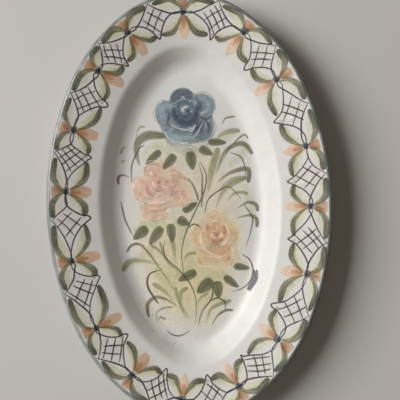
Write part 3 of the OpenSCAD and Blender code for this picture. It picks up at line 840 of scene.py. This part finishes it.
def paint_lip_band():
    """The band of grey green colour wiped round the lip's edge."""
    thick, sunk, deep = 0.10, 0.03, 0.06
    stop = STARTS[1] + 1
    line, normals = section_line(GLAZE)[:stop], NORMALS[:stop]
    v = np.linspace(-1, 1, stop)
    rise = thick * np.sqrt(np.maximum(0, 1 - v ** 4))
    upper = line + normals * (rise - sunk)[:, None]
    lower = line[1:-1][::-1] - normals[1:-1][::-1] * deep
    section = np.vstack([upper, lower])
    points, faces = swept(section, GLAZE_AROUND, closed=True)
    across = np.concatenate([v, v[1:-1][::-1]])
    s = np.arange(GLAZE_AROUND) * ROUND_TRIP / GLAZE_AROUND
    patchy = 0.5 + 0.5 * np.sin(s / 37 + 1.0) * np.sin(s / 61 + 0.3)
    inks = np.column_stack([gradient([LIP_DARK, LIP_GREY], patchy), np.ones(len(s))])
    values = {
        "ink": np.tile(inks, (len(section), 1)),
        "brush": spread((len(section), len(s)), s, across[:, None], 0),
        "flow": np.tile((0.9, 0.35, 0.35), (len(points), 1)),
    }
    look = paint_material("lip_grey", roughness=LIP_ROUGHNESS)
    piece = add_piece("lip_band_wiped", "lip_band", points, faces, look, values)
    piece.visible_shadow = False
    return piece


# ---- The painted bouquet ---------------------------------------------------------------------

# The bouquet was painted a little larger than the sketches of it below, which are in millimetres.
BOUQUET_SIZE = 1.037
GROUND = (0.60, 0.53, 0.32)
GROUND_EDGE = (0.62, 0.565, 0.38)
GROUND_LOW = (0.62, 0.54, 0.24)
HALO_GREEN = (0.42, 0.44, 0.20)
HAIRLINE = (0.35, 0.33, 0.30)
GRASS_GREEN = (0.24, 0.25, 0.115)
GRASS_BROWN = (0.142, 0.130, 0.062)
LEAF_DARK = (0.098, 0.102, 0.046)
STEM_INK = (0.055, 0.050, 0.036)
SMUDGE_INK = (0.014, 0.018, 0.028)
SLATE_DEEP = (0.052, 0.068, 0.105)
SLATE_DARK = (0.095, 0.130, 0.160)
SLATE_MID = (0.18, 0.245, 0.285)
SLATE_PALE = (0.35, 0.44, 0.47)
WHITE = (0.76, 0.80, 0.79)

# Leaves: stem end, round end, width.
LEAVES = (
    ((-30, 30), (-19, 39), 5.5), ((-18, 26), (-9, 36), 6.5), ((3, 25), (1, 38), 7.5),
    ((27, 43), (14, 44), 5), ((17, 35), (8, 40), 6), ((5, 2), (-5, -4), 5.5),
    ((-1, -13), (-9, -9), 6.5), ((-40, -22), (-30, -14), 7.5), ((-29, -26), (-20, -14), 7),
    ((-13, -25), (-14, -12), 6.5), ((-10, -52), (3, -46), 6.5), ((3, -61), (14, -52), 8.5),
    ((18, -65), (17, -53), 7.5), ((32, -58), (22, -50), 5.5), ((40, -45), (29, -43), 5),
)
# Soft strokes of grass: width, then the points that the brush went through.
BROWN_BLADES = (
    (8, (-34, 29), (-36, 38), (-34, 46), (-27, 50), (-14, 49)),
    (1.6, (24, 55), (27, 60), (34, 61)),
    (1.6, (18, 21), (30, 40), (39, 48), (42, 45)),
    (4.5, (19, 22), (26, 37), (38, 42), (45, 34)),
    (4.5, (20, 16), (29, 22), (41, 24), (41, 14)),
    (3.5, (33, -3), (40, 1), (46, -1), (47, -6)),
    (3.5, (32, -10), (41, -8), (46, -11), (46, -17)),
    (2, (-6, 20), (1, 17), (5, 8), (6, 3)),
    (1.6, (6, 32), (9, 22), (9, 13), (8, -2)),
    (2.6, (-12, -60), (-23, -42), (-34, -27), (-41, -26), (-45, -31)),
    (3.5, (-11, -70), (-18, -65), (-26, -63), (-32, -68), (-31, -77)),
    (2.2, (-22, -44), (-30, -47), (-31, -56), (-24, -68)),
    (2.5, (12, -85), (16, -78), (22, -74), (28, -74)),
    (2.4, (-41, 21), (-46, 23), (-49, 21), (-49, 16)),
)
GREEN_BLADES = (
    (1.6, (-37, 45), (-35, 52), (-33, 56), (-29, 56)),
    (1.7, (-42, 42), (-45, 42), (-47, 37)),
    (1.5, (-43, 33), (-45, 33), (-46, 31)),
    (7, (13, 9), (16, 24), (21, 40)),
    (5, (20, 45), (24, 49), (30, 51), (37, 51)),
    (4.5, (20, 10), (30, 17), (41, 18)),
    (4.5, (18, -2), (25, 11), (39, 18)),
    (3, (26, 2), (32, 8), (41, 7)),
    (5, (-24, -40), (-35, -37), (-44, -38), (-48, -44)),
    (4, (-14, -65), (-21, -58), (-28, -53)),
    (2.6, (-16, -41), (-22, -31), (-29, -26)),
    (2.6, (-10, -46), (-17, -38), (-22, -24)),
    (3, (-5, -39), (-3, -34), (4, -33)),
    (4, (8, -83), (12, -73), (19, -69), (27, -67)),
    (2.5, (2, -69), (6, -64), (11, -61)),
    (3, (-2, -80), (-10, -66), (-12, -56)),
    (4, (-12, -39), (-12, -29), (-14, -22)),
    (2.2, (-25, -79), (-23, -77), (-19, -79)),
    (4, (-5, -79), (-9, -69), (-8, -60), (-3, -57)),
    (2, (-25, -81), (-26, -75), (-22, -71), (-14, -70)),
)
# Fine dark stems, by the points that the liner brush went through.
STEMS = (
    ((8, 31), (12, 21), (10, 9), (0, -11), (-5, -23), (-7, -35), (-5, -54)),
    ((-18, -23), (-19, -34), (-8, -46), (-1, -56), (2, -68), (1, -84)),
    ((-22, -44), (-30, -47), (-31, -56), (-24, -68)),
    ((-30, 43), (-34, 41), (-39, 31), (-40, 24), (-40, 17)),
    ((-48, 5), (-45, -9), (-40, -20)),
    ((29, 36), (36, 33), (39, 26), (39, 16)),
    ((10, -6), (13, 4), (21, 10), (28, 12), (36, 3)),
    ((37, 0), (43, -9), (42, -18), (38, -30)),
    ((35, -35), (41, -40), (42, -50), (36, -58), (27, -61)),
    ((14, -56), (13, -65), (6, -74), (3, -84)),
    ((12, -67), (17, -65), (22, -68), (22, -74)),
    ((-19, -86), (-16, -89), (-11, -90.5), (-6, -89), (-3, -86.5)),
    ((-3, -16), (3, -13), (8, -17)),
)
# The smudge's two pulls: width, height over the other one, then their points.
SMUDGE = (
    (4, 0.0, (43, -46), (42, -53), (38, -60)),
    (3, 0.02, (45, -46), (44, -53), (39, -61)),
)
# The flecks off the brush: how many, the middle of their patch, and how far they scatter.
FLECKS = 110
FLECKS_MIDDLE = (-22, -72)
FLECKS_SCATTER = 8
# Soft patches of green round the leaves: the points that a wide, wet brush went through.
HALOS = (
    ((-32, 33), (-26, 41), (-17, 41), (-12, 36)), ((-4, 37), (4, 36), (13, 37)),
    ((13, 40), (22, 46), (34, 49)), ((-6, -2), (3, 1), (6, 4)),
    ((-40, -16), (-28, -12), (-12, -14)), ((-12, -10), (-4, -16), (-8, -24)),
    ((-14, -50), (-4, -46), (4, -42)), ((2, -58), (14, -50), (24, -48)),
    ((26, -42), (34, -42), (39, -47)), ((8, -64), (18, -66), (26, -70)),
    ((38, 14), (42, 0), (44, -14)), ((28, 26), (38, 36), (42, 42)),
    ((-12, -58), (-20, -50), (-26, -42)), ((-46, -40), (-34, -34), (-24, -26)),
)


def paint_ground():
    """The faint green ground that the bouquet was washed on to, and greener patches on it."""
    painting = Painting(0.02, 61, BOUQUET_SIZE)
    shape = oval((-1, -12), (46, 82), 0, 72, 0.03, 4, 0.6)
    painting.dab(shape, (0, -15), [GROUND, GROUND_EDGE], cover=[0.6, 0.58, 0.5], feather=0.4,
                 dry=0.15, rings=24)
    low = oval((-2, -48), (46, 50), 0, 48, 0.04, 3, 1.1)
    painting.dab(low, (-2, -52), GROUND_LOW, cover=[0.48, 0.5, 0.5], feather=0.9, rings=16, over=0.01)
    under_rose = ((-16, 47), (-7, 40), (4, 39), (16, 44))
    painting.stroke(under_rose, 10, SLATE_MID, cover=0.28, feather=1.0, tip=0.4, columns=8, over=0.03)
    for path in HALOS:
        painting.stroke(path, 11, HALO_GREEN, cover=0.40, feather=0.9, dry=0.3, tip=0.5, columns=8,
                        over=0.02)
    hairline = ((-5, 99), (-6, 92), (-8, 86))
    painting.stroke(hairline, 0.9, HAIRLINE, cover=0.25, feather=0.9, over=0.04)
    return painting.finish("bouquet_ground_washed", "bouquet_ground", "ground_wash", 0.05, 0.0, 0.1)


def paint_grass():
    """Soft blades of grass, heavier at their far ends, and flecks off the brush below them."""
    painting = Painting(0.06, 67, BOUQUET_SIZE)
    random = painting.random
    for ink, blades, covers in ((GRASS_GREEN, GREEN_BLADES, (0.65, 0.8, 0.9)),
                                (GRASS_BROWN, BROWN_BLADES, (0.8, 0.92, 0.97))):
        for width, *path in blades:
            painting.stroke(path, width * 1.15, np.outer((1.4, 1.2, 1.05), ink), cover=covers,
                            feather=0.62, dry=[0.4, 0.25, 0.15], peak=0.72, columns=6,
                            over=0.02 * random.random())
    for _ in range(FLECKS):
        spot = np.array(FLECKS_MIDDLE) + random.normal(0, 1, 2) * FLECKS_SCATTER
        size = random.uniform(0.35, 0.7)
        ink = GRASS_BROWN if random.random() < 0.6 else RUST
        painting.dab(oval(spot, (size, size * 0.8), count=10), spot, ink,
                     cover=random.uniform(0.25, 0.6), feather=0.8, rings=2, over=0.03)
    return painting.finish("grass_strokes_brushed", "grass_strokes", "grass_green", 0.2, 0.1, 0.12)


def paint_leaves():
    """Single presses of a round brush, pointed at the stem and darker towards the middle."""
    painting = Painting(0.10, 71, BOUQUET_SIZE)
    dark = np.array(LEAF_DARK)
    for start, stop, width in LEAVES:
        start, stop = np.array(start, float), np.array(stop, float)
        tone = dark * painting.random.uniform(0.85, 1.15)
        painting.stroke([start, (start + stop) / 2, stop], width * 1.32, [tone, tone * 1.3, tone],
                        cover=[0.9, 0.85, 0.9], feather=0.4, dry=0.1, peak=0.62, columns=8, rows=16)
        core = [start + (stop - start) * share for share in (0.2, 0.9)]
        painting.stroke(core, width * 0.7, dark * 0.75, cover=0.45, feather=1.0, dry=0.3, peak=0.6,
                        rows=8, over=0.03)
    return painting.finish("leaves_brushed", "leaves", "leaf_green", 0.25, 0.1, 0.15)


def paint_stems():
    """Thin dark stems drawn with a liner brush, fading where it ran dry."""
    painting = Painting(0.16, 73, BOUQUET_SIZE)
    for path in STEMS:
        painting.stroke(path, painting.random.uniform(1.25, 1.65), STEM_INK, cover=[0.9, 0.9, 0.75],
                        feather=0.55, dry=[0.1, 0.15, 0.35], peak=0.45, tip=0.4, rows=8 * len(path))
    return painting.finish("liner_stems_drawn", "liner_stems", "stem_ink", 0.15, 0.0, 0.0)


def paint_smudge():
    """A dry brush of slate blue dragged down the right side."""
    painting = Painting(0.15, 79, BOUQUET_SIZE)
    for width, over, *path in SMUDGE:
        painting.stroke(path, width, SMUDGE_INK, cover=0.97, feather=0.45, dry=0.12, tip=0.5,
                        columns=6, rows=24, over=over)
    return painting.finish("blue_smudge_dragged", "blue_smudge", "smudge_blue")


def petal_edge(shape, heart, reach):
    """The outline of a petal, within reach degrees of the point that faces away from the heart."""
    centre = shape.mean(axis=0)
    away, arms = centre - heart, shape - centre
    turn = np.arctan2(away[1], away[0])
    angles = np.arctan2(arms[:, 1], arms[:, 0])
    first = int(np.argmin(np.cos(angles - turn + math.pi)))
    span = int(len(shape) * reach / 360)
    picked = [(first + step) % len(shape) for step in range(-span, span + 1, 2)]
    return centre + arms[picked] * 0.93


def paint_rose(name, seed, heart, grown, outline, under, covers, rim, petals, strokes, look):
    """A rose: an underlayer over its outline, petals with light rims on it, then strokes."""
    painting = Painting(0.07, seed, BOUQUET_SIZE)
    heart = np.array(heart, float)
    outline = heart + (np.array(outline) - heart) * grown
    shape = through([*outline, outline[0]], np.linspace(0, 1, 97)[:-1])
    painting.dab(shape, heart, under, cover=covers, feather=0.12, dry=0.1, rings=12)
    for i, (centre, radii, tilt, inks, cover) in enumerate(petals):
        focus = np.array(centre) * 0.65 + heart * 0.35
        petal = oval(centre, radii, tilt, 36, 0.035, 3, 1.3 * i)
        painting.dab(petal, focus, inks, cover=cover, feather=0.3, dry=0.2, over=0.02 + 0.004 * i)
        painting.stroke(petal_edge(petal, heart, 95), 1.5, rim, cover=[0.3, 0.75, 0.3], feather=0.7,
                        dry=0.3, tip=0.3, rows=20, over=0.05)
    pulls = [(ink, *pull) for ink, *group in strokes for pull in group]
    for i, (ink, width, cover, *path) in enumerate(pulls):
        painting.stroke(path, width, ink, cover=cover, feather=0.65, dry=0.25, tip=0.35, columns=6,
                        over=0.055 + 0.001 * i)
    return painting.finish(name + "_painted", name, *look)


# In the roses' tables a petal is its centre, radii, tilt, inks from its focus out and cover, and
# a group of strokes is an ink, then each stroke's width, cover and points.


def paint_blue_rose():
    """A slate blue rose: broad petals round a dark crescent and a paler cup."""
    outline = ((-16, 74), (-21, 69), (-22, 62), (-19, 56), (-17, 50), (-12, 45), (-5, 43), (3, 43),
               (10, 44), (16, 48), (19, 55), (18, 62), (20, 68), (18, 74), (12, 78), (6, 78),
               (1, 82), (-5, 82), (-10, 79), (-12, 74))
    outer = [SLATE_DARK, SLATE_MID, SLATE_PALE, SLATE_MID]
    petals = (
        ((-15, 65), (7, 10), 0, outer, 0.85), ((12, 70), (8, 8), 20, outer, 0.85),
        ((11, 53), (8, 9.5), 10, [SLATE_DEEP, SLATE_DARK, SLATE_MID, SLATE_DARK], 0.85),
        ((-5, 50), (12.5, 7.5), 0, outer, 0.85),
        ((-3, 75), (9, 7.5), 0, [SLATE_MID, SLATE_DARK, SLATE_DARK, SLATE_DEEP], 0.85),
        ((-1, 64), (12, 11), 0, [SLATE_DEEP, SLATE_DARK, SLATE_MID, SLATE_PALE], 0.9),
        ((-1, 68), (7.5, 7), 0, [SLATE_MID, SLATE_MID, SLATE_DARK], 0.9),
    )
    strokes = (
        (SLATE_DEEP, (7.5, 0.85, (-9, 70), (-8, 62), (-1, 57), (6, 61), (7, 71)),
         (4, 0.6, (6, 76), (9, 71), (9, 65)), (3, 0.6, (-14, 56), (-13, 60), (-12, 66))),
        (SLATE_DARK, (3, 0.75, (-11, 75), (-7, 80), (-1, 81), (5, 78))),
        (SLATE_DEEP, (2.5, 0.65, (9, 62), (13, 60), (18, 62)),
         (3.5, 0.6, (3, 48), (5, 52), (10, 56)), (2.4, 0.7, (12, 60), (15, 56), (15, 50))),
        (SLATE_MID, (1.6, 0.45, (-22, 59), (-23, 66), (-18, 74), (-14, 74)),
         (1.8, 0.45, (-18, 50), (-13, 44), (-5, 42), (3, 42)),
         (1.8, 0.45, (6, 78), (13, 79), (19, 74), (20, 66)),
         (1.8, 0.45, (19, 60), (20, 53), (16, 47), (9, 43))),
        (SLATE_PALE, (3.2, 0.7, (-13, 60), (-8, 55), (0, 53), (5, 55)),
         (2.4, 0.6, (10, 51), (13, 54), (13, 58)), (3, 0.5, (9, 75), (14, 74), (17, 69)),
         (7, 0.75, (-15, 52), (-10, 48), (-4, 47), (1, 48)),
         (5, 0.6, (-18, 59), (-19, 66), (-16, 71))),
        (WHITE, (2.1, 0.85, (-17, 53), (-12, 46.5), (-5, 44), (1, 44)),
         (1.4, 0.7, (3, 46), (6, 49), (9, 54), (11, 57)),
         (1.4, 0.6, (-12, 57), (-6, 54), (1, 53), (5, 55)), (1.9, 0.8, (2, 51), (4, 53), (6, 57)),
         (1.3, 0.7, (10, 62), (11, 64), (12, 65)), (1.7, 0.8, (-4, 75), (-2, 76), (-1, 74)),
         (1.4, 0.7, (1, 72), (3, 73), (4, 74)), (3.4, 0.95, (-1, 65), (-3, 67), (-1, 69), (2, 69)),
         (1.6, 0.9, (3, 66), (4, 65))),
        (SLATE_DEEP, (2.6, 0.9, (1, 68), (1, 66), (2, 64))),
        (WHITE, (1.6, 0.8, (15, 58), (15, 59))),
        (SLATE_MID, (1.3, 0.7, (3, 43), (-1, 41), (1, 39), (5, 42))),
    )
    under = [SLATE_DEEP, SLATE_DARK, SLATE_MID]
    return paint_rose("blue_rose", 83, (0, 63), 1.07, outline, under, 0.8, SLATE_PALE, petals,
                      strokes, ("rose_blue", 0.42, 0.12, 0.15))


def paint_pink_rose():
    """A pink rose over peach, with cream edges, red touches and small white curls."""
    peach, pink, cream = (0.70, 0.50, 0.36), (0.65, 0.41, 0.33), (0.84, 0.74, 0.65)
    red, rose, mauve = (0.30, 0.10, 0.09), (0.49, 0.245, 0.20), (0.43, 0.23, 0.19)
    outline = ((-31, 28), (-26, 32), (-19, 32), (-14, 28), (-6, 26), (-1, 22), (1, 16), (2, 8),
               (-1, 0), (-8, -1), (-16, -2), (-16, -7), (-20, -11), (-27, -11), (-33, -8), (-35, -2),
               (-36, 4), (-40, 9), (-40, 16), (-38, 21), (-32, 22))
    fold = [rose, pink, peach, peach]
    petals = (
        ((-25, 26), (7.5, 7), 0, fold, 0.6), ((-8, 20), (7, 6.5), -20, fold, 0.6),
        ((-33, 12), (7, 9), 0, fold, 0.6), ((-25, -4), (10, 7.5), 0, [pink, peach, peach], 0.5),
        ((-6, 6), (7.5, 7.5), 0, fold, 0.55), ((-21, 13), (11, 10), 0, [rose, pink, pink, peach], 0.65),
    )
    strokes = (
        (pink, (5, 0.5, (-31, 24), (-29, 27), (-25, 27)), (5, 0.5, (-34, 17), (-32, 18), (-29, 16))),
        (rose, (4, 0.45, (-30, 14), (-28, 9), (-24, 6)), (4, 0.45, (-14, 6), (-12, 10), (-13, 14)),
         (3.5, 0.4, (-11, 23), (-8, 22), (-6, 18)), (3, 0.4, (-7, 9), (-4, 8), (-3, 4)),
         (2.5, 0.5, (-32, 1), (-31, 3), (-29, 2))),
        (pink, (3, 0.6, (-29, -2), (-23, -3), (-17, -1))),
        (cream, (1.5, 0.8, (-35, 3), (-32, 3), (-29, 0)), (1.8, 0.8, (-17, -8), (-17, -4), (-12, -1)),
         (1.4, 0.7, (-29, 1), (-24, 4), (-18, 3), (-12, 2)),
         (1.6, 0.7, (-13, 24), (-13, 20), (-11, 18)), (2.6, 0.85, (-27, 25), (-26, 23), (-25, 22)),
         (2.2, 0.9, (-25, 18), (-25, 15), (-22, 13)), (1.8, 0.85, (-19, 15), (-17, 13), (-14, 14)),
         (2.2, 0.75, (-25, 6), (-21, 9), (-17, 8)), (1.3, 0.7, (-31, 6), (-28, 8), (-26, 6)),
         (1.5, 0.6, (-9, 3), (-6, 4), (-5, 8)), (1.3, 0.6, (-38, 10), (-38, 15), (-36, 19)),
         (1.3, 0.6, (-7, 25), (-2, 22), (0, 18))),
        (red, (3.6, 0.8, (-22, 16), (-21, 17), (-20, 16))),
        (rose, (2.6, 0.8, (-17, 17), (-15, 17), (-14, 16)),
         (2.4, 0.8, (-26, 10), (-23, 11), (-19, 10))),
        (red, (1.8, 0.7, (-11, 13), (-9, 14))),
        (rose, (2, 0.8, (-30, 7), (-27, 6), (-26, 5)), (1.5, 0.8, (-9, 17), (-7, 18))),
        (mauve, (1.5, 0.45, (-34, 5), (-28, 1), (-20, 1), (-12, 4)),
         (1.6, 0.45, (-31, -1), (-26, -3), (-18, -2), (-13, 1)),
         (1.3, 0.45, (-30, 22), (-29, 28), (-23, 30), (-18, 27)),
         (1.3, 0.45, (-15, 24), (-10, 25), (-6, 21)), (1.2, 0.45, (-40, 17), (-38, 21), (-34, 21)),
         (1.3, 0.45, (-38, 5), (-35, 8), (-33, 13)), (1.3, 0.45, (-12, 12), (-8, 10), (-3, 11)),
         (1.2, 0.45, (-27, 20), (-24, 22), (-20, 20))),
        (cream, (1.4, 0.75, (-32, 11), (-29, 7), (-21, 6), (-13, 8)),
         (1.4, 0.75, (-35, 7), (-29, 3), (-19, 3), (-11, 6)),
         (1.4, 0.75, (-27, 15), (-25, 11), (-20, 10), (-15, 12)),
         (1.4, 0.75, (-30, 24), (-27, 28), (-22, 28)), (1.4, 0.75, (-14, 22), (-9, 23), (-7, 19)),
         (1.4, 0.75, (-30, -6), (-25, -9), (-20, -7))),
    )
    return paint_rose("pink_rose", 89, (-20, 14), 1.07, outline, [pink, peach, peach], 0.6, cream,
                      petals, strokes, ("rose_pink", 0.18, 0.06, 0.14))


def paint_peach_rose():
    """A peach rose with apricot shading arcs and a pale ring round the dot at its heart."""
    peach, apricot, cream = (0.70, 0.53, 0.35), (0.60, 0.38, 0.22), (0.84, 0.76, 0.60)
    brown, dot = (0.36, 0.17, 0.080), (0.27, 0.275, 0.20)
    olive, honey = (0.24, 0.20, 0.10), (0.73, 0.60, 0.37)
    outline = ((10, -9), (11, -4), (17, -2), (23, -4), (26, -10), (31, -12), (35, -18), (34, -26),
               (32, -31), (34, -36), (31, -42), (24, -44), (17, -43), (10, -44), (4, -41), (3, -35),
               (2, -29), (-1, -23), (0, -16), (5, -13))
    fold = [apricot, apricot, peach, peach]
    petals = (
        ((17, -9), (8, 6.5), 0, fold, 0.5), ((29, -20), (6, 8.5), 0, fold, 0.55),
        ((5, -21), (6, 9), 0, [apricot, peach, peach], 0.5), ((9, -37), (7, 6.5), 0, fold, 0.45),
        ((24, -37), (9, 7), 0, fold, 0.55), ((17, -32), (10, 5), 0, [brown, apricot, peach], 0.45),
        ((18, -20), (9, 8.5), 0, [brown, apricot, apricot, peach], 0.6),
    )
    strokes = (
        (brown, (4.5, 0.6, (14, -24), (18, -26), (23, -23)), (4, 0.45, (22, -14), (24, -18), (23, -22)),
         (3, 0.6, (11, -13), (12, -15), (11, -18))),
        (apricot, (4, 0.6, (12, -31), (18, -34), (24, -33), (27, -28))),
        (brown, (3, 0.35, (21, -30), (25, -29), (27, -32))),
        (apricot, (4, 0.6, (22, -40), (25, -38), (28, -36)), (3.4, 0.6, (30, -20), (31, -24), (29, -27)),
         (2, 0.7, (5, -35), (5, -39), (8, -42)), (3, 0.5, (2, -19), (3, -23), (3, -26))),
        (olive, (1.2, 0.55, (13, -26), (17, -28), (21, -27))),
        (cream, (2.4, 0.8, (7, -18), (7, -26), (11, -32), (16, -35)),
         (1.7, 0.8, (27, -22), (24, -26), (20, -29)), (1.6, 0.65, (25, -13), (26, -18), (25, -22)),
         (2.6, 0.7, (14, -12), (17, -11), (20, -12)), (1.5, 0.7, (18, -14), (19, -17)),
         (1.8, 0.6, (11, -5), (17, -3), (24, -6)), (1.7, 0.6, (28, -13), (33, -17), (34, -23)),
         (1.6, 0.6, (28, -30), (29, -34), (27, -40)), (1.6, 0.55, (6, -41), (12, -43), (20, -43)),
         (2.4, 0.9, (15, -19), (15, -22), (18, -23)), (2.2, 0.9, (18, -23), (21, -22), (21, -19)),
         (1.8, 0.85, (15, -19), (17, -18), (20, -18))),
        (dot, (2.6, 0.8, (17, -20), (19, -21))),
    )
    return paint_rose("peach_rose", 97, (18, -20), 1.06, outline, [apricot, peach, honey],
                      [0.8, 0.75, 0.6], cream, petals, strokes, ("rose_peach", 0.18, 0.06, 0.12))


# ---- Studio ----------------------------------------------------------------------------------

LENS = 77.1
SENSOR = 36.0
CAMERA_PLACE = (0.00744, 0.00385, 0.627)
CAMERA_ROLL = -2.0
KEY_PLACE = (-1.73, 0.58, 1.47)
KEY_SIZE = (1.1, 1.4)
KEY_POWER = 58.5
KEY_COLOUR = (0.995, 0.985, 0.998)
FILL_COLOUR = (1.0, 0.895, 0.71, 1)
FILL_STRENGTH = 0.115
FLOOR_REACH = 4.0
# A hair below the foot ring, so that the two never share a plane.
FLOOR_LEVEL = -0.0002
FLOOR_GREY = (0.60, 0.585, 0.56, 1)
FLOOR_PALE = (0.63, 0.615, 0.59, 1)
FLOOR_ROUGHNESS = 0.9


def make_camera():
    """Straight above the plate, turned a little, as far off as a hand holds a camera."""
    camera = bpy.data.cameras.new("camera")
    camera.lens, camera.sensor_width = LENS, SENSOR
    view = bpy.data.objects.new("camera", camera)
    view.location = CAMERA_PLACE
    view.rotation_euler = (0, 0, math.radians(CAMERA_ROLL))
    bpy.context.scene.collection.objects.link(view)
    bpy.context.scene.camera = view


def make_key():
    """One large soft light from the left, that grazes the plate."""
    lamp = bpy.data.lights.new("key", "AREA")
    lamp.shape = "RECTANGLE"
    lamp.size, lamp.size_y = KEY_SIZE
    lamp.energy, lamp.color = KEY_POWER, KEY_COLOUR
    light = bpy.data.objects.new("key", lamp)
    light.location = KEY_PLACE
    light.rotation_euler = (-Vector(KEY_PLACE)).to_track_quat("-Z", "Y").to_euler()
    bpy.context.scene.collection.objects.link(light)


def make_floor():
    """A plain pale floor, where the photo has its table."""
    mesh = bpy.data.meshes.new("floor")
    corners = [(-1, -1), (1, -1), (1, 1), (-1, 1)]
    mesh.from_pydata([(x * FLOOR_REACH, y * FLOOR_REACH, 0) for x, y in corners], [], [(0, 1, 2, 3)])
    look = Look("studio_floor", FLOOR_ROUGHNESS)
    shade = look.spread(look.noise(6, 2.0), 0.3, 0.7)
    look.feed("Base Color", look.mixed(shade, FLOOR_GREY, FLOOR_PALE))
    mesh.materials.append(look.material)
    floor = bpy.data.objects.new("floor", mesh)
    floor.location.z = FLOOR_LEVEL
    bpy.context.scene.collection.objects.link(floor)


def make_studio():
    """The key light, a weak even fill, and the floor."""
    scene = bpy.context.scene
    scene.view_settings.view_transform = "Standard"
    scene.world = bpy.data.worlds.new("fill")
    scene.world.use_nodes = True
    fill = scene.world.node_tree.nodes["Background"]
    fill.inputs["Color"].default_value = FILL_COLOUR
    fill.inputs["Strength"].default_value = FILL_STRENGTH
    make_key()
    make_floor()


# ---- The plate -------------------------------------------------------------------------------

make_camera()
make_studio()
make_body(clay_material(), glaze_material())
paint_lip_band()
paint_washes()
paint_loops()
paint_buds()
paint_lattice()
paint_knots()
paint_ground()
paint_grass()
paint_leaves()
paint_blue_rose()
paint_pink_rose()
paint_peach_rose()
paint_stems()
paint_smudge()
